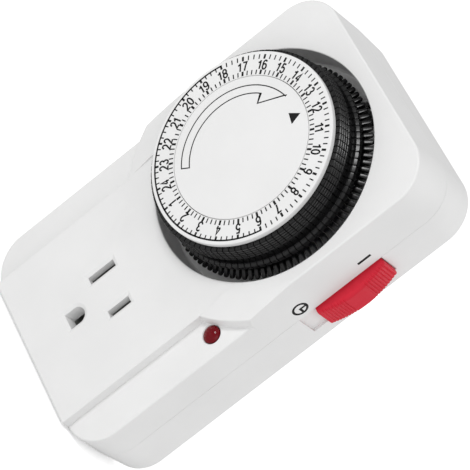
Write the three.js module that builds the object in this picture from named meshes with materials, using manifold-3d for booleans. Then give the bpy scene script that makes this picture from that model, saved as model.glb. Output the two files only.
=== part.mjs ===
// Plug-in 24-hour timer switch: a dial of push-down trip tabs turned by a small clock motor,
// a follower lever and snap switch behind the dial, a slide switch on the side that keeps the outlet on,
// an outlet in front and a plug behind. Millimetres. +X is the slide switch's side, +Y the wall, +Z the dial's end.
// The origin is the centre of the back face, which lies against the wall.
import * as THREE from 'three';
import { mergeVertices } from 'three/addons/utils/BufferGeometryUtils.js';
import Module from 'manifold-3d';

const wasm = await Module();
wasm.setup();

// Fits
const gap = 0.3;
const overrun = 1;

// Case
const sideMargin = 3.25;
const topMargin = 4.4;
const endMargin = 16.75;
const caseCorner = 11.5;
const caseDraft = 0.35;
const wall = 2.2;
const edgeRound = 1;
const partingDepth = 13.36;
const bandStep = 3;
const bandEdge = 0.4;
const stripBeside = 11;
const platformStep = 1.5;
const platformMargin = 9.85;
const platformSlope = 1;
const cornerSteps = 7;
const edgeSteps = 3;

// Well round the dial
const wellClearance = 2.85;
const wellWall = 1.6;
const wellDepth = 9.5;
const wellFloor = 1.6;
const rampLand = 0.8;
const roundSteps = 60;
const smallSteps = 20;
const tinySteps = 10;

// Dial
const hours = 24;
const tabsPerHour = 4;
const noonAngle = 13.3;
const dialRise = 11;
const faceThickness = 0.8;
const ringReach = 0.07;
const ringWidth = 6.87;
const ringBevel = 0.6;
const discStemRadius = 2;
const discStemLength = 7;
const postRadius = 4.2;
const hubWall = 2.5;
const drumWall = 1.2;
const drumWeb = 1.4;
const drumClearance = 5.8;
const finReach = 1.6;
const finWidth = 0.5;

// Trip tabs
const tabTravel = 3.5;
const tabFootRadius = 30;
const tabTaper = 2.1;
const tabDepth = 3.1;
const tabClearance = 1.5;
const tabStemWidth = 0.6;
const tabGap = 0.27;
const tabWeb = 0.5;

// Gears
const gearModule = 0.6;
const dialTeeth = 60;
const wheelTeeth = 40;
const pinionTeeth = 10;
const gearThickness = 1.7;
const wheelThickness = 1.4;
const addendumShare = 0.85;
const dedendumShare = 1.15;
const toothRootShare = 0.54;
const toothTipShare = 0.2;
const meshSlack = 0.1;
const idlerAngle = -80;
const arborRadius = 1;

// Mechanism plate
const plateThickness = 1.5;
const plateStandoff = 0.8;
const plateSide = 3.1;
const plateClearance = 1.1;
const plateShoulderRim = 4;
const plateNoseRim = 4.6;
const plateStepSink = 4.75;
const plateMotorRim = 4;
const plateBossRadius = 2.7;
const screwRadius = 1.2;
const screwHeadRadius = 2.4;
const screwHeadHeight = 1.6;
const screwLength = 7.5;
const pegHeight = 0.4;
const upperBossReach = 3.23;
const upperBossAngle = 33.5;
const lowerBossRim = 4;

// Clock motor
const motorRadius = 13;
const motorClearance = 1.051;
const motorSeat = 1.9;
const motorFootRadius = 1.3;
const motorFootAngles = [146, 250];
const motorFootShare = 0.82;
const motorRim = 0.8;

// Follower lever and snap switch
const followerArm = 12.3;
const plungerArm = 6.5;
const leverThickness = 2;
const leverWidth = 4.4;
const noseWidth = 4.2;
const noseLength = 3;
const pivotRadius = 0.9;
const lugThickness = 1.4;
const lugRim = 0.8;
const leverSwing = 17.5;
const eyeWall = 1;
const plungerRadius = 1;
const plungerLength = 3.8;
const plungerTravel = 2.3;
const snapLeft = -2.6;
const snapBottom = -4.1;
const snapTop = 5.9;
const snapClearance = 0.8;
const snapSink = 3.4;

// Outlet, on the blade and ground spacing of a 15 A, 125 V grounding socket
const bladeSpacing = 12.7;
const groundDrop = 11.9;
const neutralSlot = 8.5;
const hotSlot = 7;
const slotWidth = 2.3;
const groundHole = 5;
const groundHoleHeight = 5.6;
const chamberWall = 1.2;
const chamberDepth = 12.4;
const chamberClearance = 2.7;
const contactWidth = 7;
const neutralContactWidth = 9;
const contactSpread = 3.6;
const groundSpread = 6.2;
const contactThickness = 0.6;
const contactLength = 12.2;
const stripThickness = 0.8;
const stripWidth = 4;
const groundLevel = 2;

// Plug, on the same spacing
const plugRise = 20.2;
const bladeWidth = 6.35;
const bladeThickness = 1.52;
const bladeLength = 17.5;
const bladeTaper = 1.6;
const groundPinRadius = 2.4;
const groundPinLength = 20.5;
const pinBossHeight = 1.7;
const pinBossWall = 1.4;

// Strips behind the mechanism
const neutralRun = -9;
const groundRun = 12.5;
const lineReach = 3.9;
const loadInset = 5.1;
const loadRise = 10.7;
const runWidth = 2.4;

// Slide switch
const slideTravel = 4.7;
const slideDrop = 10.5;
const slideLength = 21.7;
const slideDepth = 7.65;
const slideClearance = 0.41;
const slideEndRise = 1.3;
const slideCrown = 3.9;
const slideRound = 0.9;
const crownSteps = 10;
const recessDepth = 1;
const recessMargin = 0.3;
const neckSink = 1.35;
const neckDepth = 3.4;
const neckRise = 5.9;
const neckLength = 9.8;
const neckReach = 1.6;
const flangeThickness = 1.8;
const flangeMargin = 3.6;
const carrierLength = 9.6;
const bridgeThickness = 0.9;
const bridgeRise = 4;
const bridgeLength = 14;
const padWidth = 2.2;
const padSink = 1.1;

// Neon lamp
const lampInset = 5.8;
const lampMargin = 1.75;
const lensRadius = 2.45;
const lensRise = 1.05;
const lensFlange = 0.7;
const lensWall = 0.45;
const bulbRadius = 1.6;
const bulbLength = 7.5;
const leadRadius = 0.3;
const resistorRadius = 1.1;
const resistorLength = 5.5;
const resistorSide = 3.1;

// Case screws
const caseScrewInset = 7.7;
const caseScrewEnd = 7.95;
const caseBossRadius = 3.3;
const caseScrewRadius = 1.4;
const caseHeadRadius = 2.6;
const caseHeadHeight = 2.2;
const caseHeadSink = 0.6;
const caseScrewLength = 17;

// Post and its clip
const rearBossRadius = 5;
const rearBossHeight = 3.5;
const postShoulder = 3.3;
const spigotRadius = 2;
const grooveDepth = 0.9;
const clipThickness = 0.8;
const clipReach = 2.4;
const clipMouthShare = 0.22;

// Nib on the well's rim
const nibAngle = 14;
const nibReach = 0.7;
const nibWidth = 1.6;

// Depths from the wall: the post's clip, the gears, the plate and the well's floor stand on each other
const clipBack = wall + rearBossHeight + postShoulder;
const clipFront = clipBack + clipThickness;
const hubBack = clipFront + gap;
const gearBack = hubBack + gap;
const gearFront = gearBack + gearThickness;
const wheelBack = gearFront + gap + gap / 3;
const wheelFront = wheelBack + wheelThickness;
const plateBack = wheelFront + gap + gap / 3;
const plateFront = plateBack + plateThickness;
const floorBack = plateFront + plateStandoff;
const floorDepth = floorBack + wellFloor;
const platformDepth = floorDepth + wellDepth;
const bandDepth = platformDepth - platformStep;
const stripDepth = bandDepth - bandStep;
const dialDepth = platformDepth + dialRise;
const faceBack = dialDepth - faceThickness;
const drumFront = faceBack - gap;
const drumBack = floorDepth + drumClearance;
const tabFront = faceBack - gap;
const tabBack = floorDepth + tabTravel + tabClearance;
const eyeRadius = pivotRadius + gap + eyeWall;
const pivotDepth = plateBack - gap - eyeRadius;
const leverFront = pivotDepth + leverThickness / 2;
const leverBack = pivotDepth - leverThickness / 2;
const snapDepth = leverBack - snapSink;
const stripBack = wall + gap;
const stripFront = stripBack + stripThickness;
const groundBack = stripFront + groundLevel / 2;
const groundFront = groundBack + stripThickness;
const motorFront = wheelBack - motorSeat + gap;
const motorBack = stripFront + 2 * gap;
const slideFront = partingDepth - slideClearance;
const slideBack = slideFront - slideDepth;
const neckFront = slideFront - neckSink;
const neckBack = neckFront - neckDepth;
const padFront = neckFront - padSink;

// Radii and widths: the well goes round the tabs, and the case round the well
const degrees = Math.PI / 180;
const tabTopRadius = tabFootRadius - tabTaper;
const tabHeadRadius = tabFootRadius - tabDepth;
const drumRadius = tabHeadRadius - finReach - gap;
const ringRadius = tabHeadRadius + ringReach;
const discRadius = ringRadius - ringWidth;
const hubRadius = postRadius + gap + hubWall;
const wellRadius = tabFootRadius + wellClearance;
const platformRadius = wellRadius + platformMargin;
const halfWidth = wellRadius + sideMargin;
const caseWidth = 2 * halfWidth;
const bandWidth = caseWidth - 2 * stripBeside;
const caseScrewX = halfWidth - caseScrewInset;
const plateWidth = caseWidth - 2 * plateSide;
const plateLowWidth = 2 * (caseScrewX - caseBossRadius - plateClearance);
const lowerBossX = plateLowWidth / 2 - lowerBossRim;
const lampX = halfWidth - lampInset;
const carrierInner = halfWidth - carrierLength;
const padInner = carrierInner - gap - bridgeThickness - gap - padWidth / 2;
const lineRun = padInner - lineReach;
const loadRun = halfWidth - loadInset;

// Heights: the motor hangs below the dial's gear, the outlet below the motor, and the case ends round them
const pitchRadiusOf = (teeth) => teeth * gearModule / 2;
const centreDistance = (a, b) => pitchRadiusOf(a) + pitchRadiusOf(b) + meshSlack;
const motorX = -halfWidth / 2;
const motorReach = pitchRadiusOf(dialTeeth) + gearModule * addendumShare + motorRadius + motorClearance;
const motorDrop = Math.sqrt(motorReach ** 2 - motorX ** 2);
const chamberTop = neutralContactWidth / 2 + gap + chamberWall;
const plateDrop = motorDrop + motorRadius + plateMotorRim;
const outletDrop = plateDrop + chamberClearance + chamberTop;
const caseHeight = topMargin + wellRadius + outletDrop + groundDrop + endMargin;
const halfHeight = caseHeight / 2;
const dialHeight = halfHeight - topMargin - wellRadius;
const motorZ = dialHeight - motorDrop;
const outletHeight = dialHeight - outletDrop;
const groundZ = outletHeight - groundDrop;
const loadCross = outletHeight + loadRise;
const plugHeight = dialHeight + plugRise;
const plugGroundZ = plugHeight - groundDrop;
const lampZ = dialHeight - wellRadius - lampMargin;
const caseScrewZ = halfHeight - caseScrewEnd;
const slideBottom = dialHeight - slideDrop;
const neckBottom = slideBottom + neckRise;
const bridgeBottom = slideBottom + bridgeRise;

// Places of the follower, the gears and the screws
const hourAngle = 360 / hours;
const followerAngle = (noonAngle - hourAngle / 2) * degrees;
const followerRadius = (tabHeadRadius + tabFootRadius) / 2;
const noseX = followerRadius * Math.sin(followerAngle);
const noseZ = dialHeight + followerRadius * Math.cos(followerAngle);
const pivotX = noseX + followerArm;
const plungerX = pivotX - plungerArm;
const noseTip = tabBack - gap;
const swing = leverSwing * degrees;
const noseLimit = pivotX - (followerArm + noseWidth / 2) * Math.cos(swing) - (noseTip - pivotDepth) * Math.sin(swing);
const snapEnd = caseScrewX - caseBossRadius - snapClearance;
const idlerDirection = idlerAngle * degrees;
const idlerX = centreDistance(dialTeeth, pinionTeeth) * Math.cos(idlerDirection);
const idlerZ = dialHeight + centreDistance(dialTeeth, pinionTeeth) * Math.sin(idlerDirection);
const motorDirection = Math.atan2(motorZ - idlerZ, motorX - idlerX);
const shaftX = idlerX + centreDistance(wheelTeeth, pinionTeeth) * Math.cos(motorDirection);
const shaftZ = idlerZ + centreDistance(wheelTeeth, pinionTeeth) * Math.sin(motorDirection);
const upperBossX = (wellRadius + upperBossReach) * Math.cos(upperBossAngle * degrees);
const upperBossZ = dialHeight + (wellRadius + upperBossReach) * Math.sin(upperBossAngle * degrees);
const plateTop = noseZ + plateNoseRim;
const plateShoulder = upperBossZ + plateShoulderRim;
const plateStep = dialHeight - wellRadius + plateStepSink;
const plateBottom = dialHeight - plateDrop;
const lowerBossZ = plateBottom + plateBossRadius;
const screwBosses = [[-upperBossX, upperBossZ], [lowerBossX, lowerBossZ]];
const pegBosses = [[upperBossX, upperBossZ], [-lowerBossX, lowerBossZ]];
const plateBosses = [...screwBosses, ...pegBosses];
const caseBosses = [[-1, -1], [-1, 1], [1, -1], [1, 1]].map(([sx, sz]) => [sx * caseScrewX, sz * caseScrewZ]);
const outlets = { neutral: -bladeSpacing / 2, hot: bladeSpacing / 2 };

const plastic = (color, roughness) => new THREE.MeshStandardMaterial({ color, roughness, metalness: 0 });
const metal = (color, roughness) => new THREE.MeshStandardMaterial({ color, roughness, metalness: 1 });
const white = plastic(0xebebea, 0.42);
const faceWhite = plastic(0xf2f2f1, 0.4);
const black = plastic(0x17171a, 0.35);
const red = plastic(0xc01524, 0.35);
const lensRed = plastic(0x5c0812, 0.12);
const acetal = plastic(0xe4dfd0, 0.5);
const darkBoard = plastic(0x2c2d30, 0.6);
const brass = metal(0xc9a24f, 0.3);
const steel = metal(0xa9abae, 0.35);
const glass = plastic(0xd8b49a, 0.1);
const band = plastic(0xb89468, 0.6);

// Solids
function solidOf(geometry) {
  geometry.deleteAttribute('normal');
  geometry.deleteAttribute('uv');
  const merged = mergeVertices(geometry);
  const vertProperties = new Float32Array(merged.getAttribute('position').array);
  const triVerts = new Uint32Array(merged.getIndex().array);
  const solid = new wasm.Manifold(new wasm.Mesh({ numProp: 3, vertProperties, triVerts }));
  if (solid.volume() > 0) return solid;
  return new wasm.Manifold(new wasm.Mesh({ numProp: 3, vertProperties, triVerts: triVerts.reverse() }));
}

function geometryOf(solid) {
  const mesh = solid.getMesh();
  const geometry = new THREE.BufferGeometry();
  const places = [];
  for (let i = 0; i < mesh.numVert; i += 1) {
    places.push(...mesh.vertProperties.slice(i * mesh.numProp, i * mesh.numProp + 3));
  }
  geometry.setAttribute('position', new THREE.Float32BufferAttribute(places, 3));
  geometry.setIndex([...mesh.triVerts]);
  geometry.computeVertexNormals();
  return geometry;
}

const unite = (...solids) => solids.reduce((all, one) => all.add(one));
const cut = (solid, ...tools) => tools.reduce((rest, tool) => rest.subtract(tool), solid);

// A box between two corners
function block([x0, x1], [y0, y1], [z0, z1]) {
  const geometry = new THREE.BoxGeometry(x1 - x0, y1 - y0, z1 - z0);
  geometry.translate((x0 + x1) / 2, (y0 + y1) / 2, (z0 + z1) / 2);
  return solidOf(geometry);
}

// A profile of [radius, depth] turned about a line along Y through (x, z); depth counts from the wall
function turned(profile, x = 0, z = 0, steps = smallSteps) {
  const points = profile.map(([radius, depth]) => new THREE.Vector2(radius, -depth));
  if (points[0].x > 0) points.push(points[0].clone());
  const geometry = new THREE.LatheGeometry(points, steps);
  geometry.translate(x, 0, z);
  return solidOf(geometry);
}

const cylinder = (radius, deep, shallow, x = 0, z = 0, steps = smallSteps) =>
  turned([[0, shallow], [radius, shallow], [radius, deep], [0, deep]], x, z, steps);

// A flat outline of [x, z] points, extruded between two depths
function plate(outline, deep, shallow, holes = []) {
  const shape = new THREE.Shape(outline.map(([x, z]) => new THREE.Vector2(x, z)));
  shape.holes = holes.map((hole) => new THREE.Path(hole.map(([x, z]) => new THREE.Vector2(x, z))));
  const geometry = new THREE.ExtrudeGeometry(shape, { depth: deep - shallow, bevelEnabled: false });
  geometry.rotateX(Math.PI / 2);
  geometry.translate(0, -shallow, 0);
  return solidOf(geometry);
}

// A stack of level outlines with like points, all drawn counter-clockwise, skinned into one closed solid
function skin(levels) {
  const count = levels[0].length;
  const places = levels.flat(2);
  const flat = levels[0].map(([x, , z]) => new THREE.Vector2(x, z));
  const caps = THREE.ShapeUtils.triangulateShape(flat, []);
  const faces = caps.flatMap(([a, b, c]) => [a, c, b]);
  const last = count * (levels.length - 1);
  faces.push(...caps.flatMap(([a, b, c]) => [last + a, last + b, last + c]));
  for (let level = 0; level < levels.length - 1; level += 1) {
    for (let i = 0; i < count; i += 1) {
      const a = level * count + i;
      const b = level * count + ((i + 1) % count);
      faces.push(a, b, b + count, a, b + count, a + count);
    }
  }
  const geometry = new THREE.BufferGeometry();
  geometry.setAttribute('position', new THREE.Float32BufferAttribute(places, 3));
  geometry.setIndex(faces);
  return solidOf(geometry);
}

// The case's rounded outline, drawn in by an inset
function caseOutline(inset) {
  const points = [];
  const radius = caseCorner - inset;
  const x = caseWidth / 2 - caseCorner;
  const z = caseHeight / 2 - caseCorner;
  for (const [sx, sz, start] of [[1, 1, 0], [-1, 1, 1], [-1, -1, 2], [1, -1, 3]]) {
    for (let i = 0; i < cornerSteps; i += 1) {
      const angle = (start + i / (cornerSteps - 1)) * Math.PI / 2;
      points.push([sx * x + radius * Math.cos(angle), sz * z + radius * Math.sin(angle)]);
    }
  }
  return points;
}

const levelAt = (depth, inset) => caseOutline(inset).map(([x, z]) => [x, -depth, z]);

// A shell half's outside: drafted walls that round over into a flat face
function roundedBody(fromDepth, faceDepth, draft) {
  const towards = Math.sign(faceDepth - fromDepth);
  const levels = [levelAt(fromDepth, 0)];
  for (let i = 0; i <= edgeSteps; i += 1) {
    const angle = (i / edgeSteps) * Math.PI / 2;
    const depth = faceDepth - towards * edgeRound * (1 - Math.sin(angle));
    levels.push(levelAt(depth, draft + edgeRound * (1 - Math.cos(angle))));
  }
  return skin(levels);
}

// Teeth round a wheel, as an outline about (x, z), one tooth pointing at the phase angle
function gearOutline(teeth, phase, x, z) {
  const pitchRadius = teeth * gearModule / 2;
  const tip = pitchRadius + gearModule * addendumShare;
  const root = pitchRadius - gearModule * dedendumShare;
  const pitch = 2 * Math.PI / teeth;
  const points = [];
  for (let i = 0; i < teeth; i += 1) {
    const middle = phase + i * pitch;
    for (const [radius, share] of [[root, -toothRootShare], [tip, -toothTipShare], [tip, toothTipShare],
      [root, toothRootShare]]) {
      const angle = middle + share * pitch / 2;
      points.push([x + radius * Math.cos(angle), z + radius * Math.sin(angle)]);
    }
  }
  return points;
}

// Phase that puts a gap of the second wheel where the first has a tooth, on the line between them
const meshedPhase = (direction, teeth) => direction + Math.PI + Math.PI / teeth;

const model = new THREE.Group();
function add(name, solid, material, parent = model) {
  const mesh = new THREE.Mesh(geometryOf(solid), material);
  mesh.name = name;
  parent.add(mesh);
  return mesh;
}

// A D-shaped outline, round side up
function groundOutline(width, height, x, z) {
  const radius = width / 2;
  const top = z + height / 2 - radius;
  const points = [[x + radius, z - height / 2]];
  for (let i = 0; i <= tinySteps; i += 1) {
    const angle = Math.PI * i / tinySteps;
    points.push([x + radius * Math.cos(angle), top + radius * Math.sin(angle)]);
  }
  points.push([x - radius, z - height / 2]);
  return points;
}

// The way that the follower's nose needs through the well's floor and the plate
const noseWay = () => block([noseLimit - gap, noseX + noseWidth / 2 + gap], [-platformDepth, 0],
  [noseZ - noseLength / 2 - gap, noseZ + noseLength / 2 + gap]);

// Front cover: outlet band between two lower strips, the dial's platform and well, chambers and screw bosses
function frontCover() {
  const from = partingDepth + gap / 2;
  const long = [-caseHeight, caseHeight];
  const strips = roundedBody(from, stripDepth, caseDraft);
  const bandTop = bandDepth - bandEdge;
  const bandOutline = [[-bandWidth / 2, from], [-bandWidth / 2, bandTop], [-bandWidth / 2 + bandEdge, bandDepth],
    [bandWidth / 2 - bandEdge, bandDepth], [bandWidth / 2, bandTop], [bandWidth / 2, from]];
  const bandShape = new THREE.Shape(bandOutline.map(([x, depth]) => new THREE.Vector2(x, -depth)));
  const bandGeometry = new THREE.ExtrudeGeometry(bandShape, { depth: caseHeight, bevelEnabled: false });
  bandGeometry.translate(0, 0, dialHeight - caseHeight);
  const bandBody = roundedBody(from, bandDepth, caseDraft).intersect(solidOf(bandGeometry));
  const foot = platformRadius + platformSlope;
  const cone = turned([[0, from], [foot, from], [foot, stripDepth], [platformRadius, platformDepth],
    [0, platformDepth]], 0, dialHeight, roundSteps);
  const upper = block([-caseWidth, caseWidth], [-platformDepth, -from], [dialHeight, caseHeight]);
  const rampTop = dialHeight - Math.sqrt(wellRadius ** 2 - (bandWidth / 2) ** 2);
  const rampBox = block([-bandWidth / 2, bandWidth / 2], [-platformDepth - overrun, -bandDepth],
    [-caseHeight, rampTop]);
  const platform = roundedBody(from, platformDepth, caseDraft).intersect(unite(cone, upper)).subtract(rampBox);
  const ramp = turned([[0, from], [platformRadius, from], [platformRadius, bandDepth],
    [wellRadius + rampLand, platformDepth], [0, platformDepth]], 0, dialHeight, roundSteps)
    .intersect(block([-bandWidth / 2, bandWidth / 2], [-platformDepth, -from], [-caseHeight, rampTop]));
  const outside = unite(strips, bandBody, platform, ramp);

  const inner = caseOutline(wall);
  const low = plate(inner, stripDepth - wall, partingDepth - overrun);
  const bandHollow = block([wall - bandWidth / 2, bandWidth / 2 - wall], [wall - bandDepth, -partingDepth],
    [wall - halfHeight, 0]);
  const beside = cut(cylinder(platformRadius - wall, platformDepth, 0, 0, dialHeight, roundSteps),
    block([-bandWidth / 2, bandWidth / 2], [-platformDepth, 0], long));
  const high = plate(inner, platformDepth - wall, partingDepth)
    .intersect(unite(block(long, [-platformDepth, 0], [rampTop, caseHeight]), beside));
  const well = cylinder(wellRadius + wellWall, platformDepth - wall, floorBack, 0, dialHeight, roundSteps);
  const wellBore = cylinder(wellRadius, platformDepth + overrun, floorDepth, 0, dialHeight, roundSteps);
  const hubHole = cylinder(hubRadius + wall / 2, platformDepth, 0, 0, dialHeight);
  const noseSlot = noseWay();
  const nib = block([-nibWidth / 2, nibWidth / 2], [-platformDepth + gap, -bandDepth],
    [wellRadius - nibReach, wellRadius + wellWall / 2])
    .rotate([0, nibAngle, 0]).translate([0, 0, dialHeight]);

  const slots = [
    block([outlets.neutral - slotWidth / 2, outlets.neutral + slotWidth / 2], [-platformDepth, 0],
      [outletHeight - neutralSlot / 2, outletHeight + neutralSlot / 2]),
    block([outlets.hot - slotWidth / 2, outlets.hot + slotWidth / 2], [-platformDepth, 0],
      [outletHeight - hotSlot / 2, outletHeight + hotSlot / 2]),
    plate(groundOutline(groundHole, groundHoleHeight, 0, groundZ), platformDepth, stripDepth - wall - overrun),
  ];
  const room = (x, z, spread, height) => [
    block([x - spread / 2 - gap - chamberWall, x + spread / 2 + gap + chamberWall],
      [wall / 2 - bandDepth, chamberDepth - bandDepth],
      [z - height / 2 - gap - chamberWall, z + height / 2 + gap + chamberWall]),
    block([x - spread / 2 - gap, x + spread / 2 + gap], [wall - bandDepth, overrun + chamberDepth - bandDepth],
      [z - height / 2 - gap, z + height / 2 + gap]),
  ];
  const rooms = [room(outlets.neutral, outletHeight, contactSpread, neutralContactWidth),
    room(outlets.hot, outletHeight, contactSpread, contactWidth), room(0, groundZ, groundSpread, contactWidth)];
  const chambers = cut(unite(...rooms.map(([out]) => out)), ...rooms.map(([, hollow]) => hollow));

  const bosses = plateBosses.map(([x, z]) =>
    cylinder(plateBossRadius, platformDepth, plateFront + gap, x, z, tinySteps));
  const pegs = pegBosses.map(([x, z]) =>
    cylinder(screwRadius, platformDepth - wall, plateBack - pegHeight, x, z, tinySteps));
  const bossHoles = screwBosses.map(([x, z]) =>
    cylinder(screwRadius + gap, plateBack + screwLength, 0, x, z, tinySteps));
  const corners = caseBosses.map(([x, z]) =>
    cylinder(caseBossRadius, platformDepth, from, x, z, tinySteps));
  const cornerHoles = caseBosses.map(([x, z]) =>
    cylinder(caseScrewRadius + gap, caseHeadSink + caseScrewLength + overrun, 0, x, z, tinySteps));
  const lensHole = cylinder(lensRadius + gap, platformDepth, partingDepth, lampX, lampZ);

  const shell = cut(outside, unite(low, bandHollow, high));
  const filled = unite(shell, well, chambers, ...bosses, ...pegs, ...corners);
  const trimmed = filled.intersect(outside);
  return unite(cut(trimmed, wellBore), nib).subtract(unite(hubHole, noseSlot, lensHole, ...slots, ...bossHoles,
    ...cornerHoles));
}

// Rear cover: a tub with the plug's slots, screw pillars, the post's boss and the slide switch's recess
function rearCover() {
  const from = partingDepth - gap / 2;
  const tub = cut(roundedBody(from, 0, caseDraft), plate(caseOutline(wall), from + overrun, wall));
  const pillars = caseBosses.map(([x, z]) => cylinder(caseBossRadius, from, wall / 2, x, z, tinySteps));
  const pillarHoles = caseBosses.flatMap(([x, z]) => [
    cylinder(caseScrewRadius + gap, from + overrun, -overrun, x, z, tinySteps),
    cylinder(caseHeadRadius + gap, caseHeadSink + caseHeadHeight + gap, -overrun, x, z, tinySteps),
  ]);
  const postBoss = cylinder(rearBossRadius, wall + rearBossHeight, wall / 2, 0, dialHeight);
  const postHole = cylinder(spigotRadius + gap, wall + rearBossHeight + overrun, wall, 0, dialHeight);
  const pinBoss = cylinder(groundPinRadius + gap + pinBossWall, wall + pinBossHeight, wall / 2, 0, plugGroundZ);
  const pinHole = cylinder(groundPinRadius + gap, wall + pinBossHeight + overrun, -overrun, 0, plugGroundZ);
  const bladeHoles = Object.values(outlets).map((x) =>
    block([x - bladeThickness / 2 - gap, x + bladeThickness / 2 + gap], [-wall - overrun, overrun],
      [plugHeight - bladeWidth / 2 - gap, plugHeight + bladeWidth / 2 + gap]));
  const recess = block([halfWidth - recessDepth, halfWidth + overrun], [-from - overrun, recessMargin - slideBack],
    [slideBottom - slideTravel - recessMargin, slideBottom + slideLength + recessMargin]);
  const slot = block([halfWidth - wall - overrun, halfWidth + overrun], [-from - overrun, 2 * gap - neckBack],
    [neckBottom - slideTravel - gap, neckBottom + neckLength + gap]);
  return unite(tub, ...pillars, postBoss, pinBoss)
    .subtract(unite(postHole, pinHole, recess, slot, ...bladeHoles, ...pillarHoles));
}

// Drum that carries the tabs: a ring wall with a fin between each two tabs, a web and a hub
function dialDrum() {
  const count = hours * tabsPerHour;
  const outline = [];
  for (let i = 0; i < count; i += 1) {
    const middle = i * 2 * Math.PI / count;
    for (const [radius, side] of [[drumRadius, -1], [drumRadius + finReach, -1], [drumRadius + finReach, 1],
      [drumRadius, 1]]) {
      const angle = middle + side * Math.atan(finWidth / 2 / radius);
      outline.push([radius * Math.sin(angle), radius * Math.cos(angle)]);
    }
  }
  const bore = [];
  for (let i = 0; i < roundSteps; i += 1) {
    const angle = -i * 2 * Math.PI / roundSteps;
    bore.push([(drumRadius - drumWall) * Math.sin(angle), (drumRadius - drumWall) * Math.cos(angle)]);
  }
  const ring = plate(outline, drumFront, drumBack, [bore]);
  const web = turned([[hubRadius - hubWall, drumFront], [drumRadius - drumWall / 2, drumFront],
    [drumRadius - drumWall / 2, drumFront - drumWeb], [hubRadius, drumFront - drumWeb], [hubRadius, hubBack],
    [hubRadius - hubWall, hubBack]], 0, 0, smallSteps * 2);
  return unite(ring, web);
}

// An hour's trip tabs at the top of the dial: heads outside the fins on a thin web, with a stem between the fins each
function tripTabs() {
  const pitch = hourAngle / tabsPerHour * degrees;
  const inner = drumRadius + gap;
  const web = tabHeadRadius + tabWeb;
  const stem = tabStemWidth / 2;
  const side = (radius) => radius * Math.tan(pitch / 2) - tabGap / 2;
  const head = (outer) => [[-side(web), web], [-side(outer), outer], [side(outer), outer], [side(web), web]];
  const foot = [[stem, tabHeadRadius], [stem, inner], [-stem, inner], [-stem, tabHeadRadius]];
  const end = side(tabHeadRadius);
  const turn = ([x, z], i) => {
    const angle = (i - (tabsPerHour - 1) / 2) * pitch;
    return [x * Math.cos(angle) + z * Math.sin(angle), z * Math.cos(angle) - x * Math.sin(angle)];
  };
  const outlineAt = (depth, outer) => {
    const points = [];
    for (let i = 0; i < tabsPerHour; i += 1) points.push(...head(outer).map((point) => turn(point, i)));
    points.push(turn([end, tabHeadRadius], tabsPerHour - 1));
    for (let i = tabsPerHour - 1; i >= 0; i -= 1) points.push(...foot.map((point) => turn(point, i)));
    points.push(turn([-end, tabHeadRadius], 0));
    return points.reverse().map(([x, z]) => [x, -depth, z]);
  };
  return skin([outlineAt(tabBack, tabFootRadius), outlineAt(tabFront, tabTopRadius)]);
}

function gearWheel(teeth, phase, x, z, deep, shallow, boreRadius) {
  const wheel = plate(gearOutline(teeth, phase, x, z), deep, shallow);
  return cut(wheel, cylinder(boreRadius, deep + overrun, shallow - overrun, x, z));
}

// Dial assembly, in a group whose axis is the dial's
const dial = new THREE.Group();
dial.position.z = dialHeight;
model.add(dial);

function makeDial() {
  const rim = ringRadius - ringBevel;
  add('number_ring', turned([[discRadius + gap, faceBack], [ringRadius, faceBack],
    [ringRadius, dialDepth - ringBevel], [rim, dialDepth], [discRadius + gap, dialDepth]], 0, 0, roundSteps),
  faceWhite, dial);
  add('centre_disc', turned([[0, faceBack - discStemLength], [discStemRadius, faceBack - discStemLength],
    [discStemRadius, faceBack], [discRadius, faceBack], [discRadius, dialDepth], [0, dialDepth]], 0, 0, roundSteps),
  faceWhite, dial);
  const drum = dialDrum().rotate([0, noonAngle, 0]);
  add('dial_drum', drum, black, dial);
  const wheel = gearWheel(dialTeeth, idlerDirection, 0, 0, gearFront, gearBack, hubRadius + gap);
  add('dial_gear', wheel, acetal, dial);
  const tabs = tripTabs();
  for (let hour = 0; hour < hours; hour += 1) {
    const mesh = add(`trip_tabs_${String(hour + 1).padStart(2, '0')}`, tabs, black, dial);
    mesh.rotation.y = (noonAngle - (hour + 1 / 2 - hours / 2) * hourAngle) * degrees;
  }
}

// Post through the dial's hub, held by a clip behind it, and by the rear cover's boss
function makePost() {
  const groove = postRadius - grooveDepth;
  const stemHole = discStemRadius + gap;
  const holeEnd = faceBack - discStemLength - gap;
  add('dial_post', turned([[0, wall + gap], [spigotRadius, wall + gap],
    [spigotRadius, wall + rearBossHeight + gap], [postRadius, wall + rearBossHeight + gap],
    [postRadius, clipBack - gap], [groove, clipBack - gap], [groove, clipFront + gap / 2],
    [postRadius, clipFront + gap / 2],
    [postRadius, drumFront], [stemHole, drumFront], [stemHole, holeEnd], [0, holeEnd]], 0, dialHeight), steel);
  const clip = turned([[groove + gap, clipBack], [groove + gap + clipReach, clipBack],
    [groove + gap + clipReach, clipFront - gap / 2], [groove + gap, clipFront - gap / 2]], 0, dialHeight);
  const mouth = (groove + gap + clipReach) * clipMouthShare;
  add('dial_clip', cut(clip, block([-mouth, mouth], [-clipFront - overrun, overrun - clipBack],
    [dialHeight - postRadius - clipReach - overrun, dialHeight])), steel);
}

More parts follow.
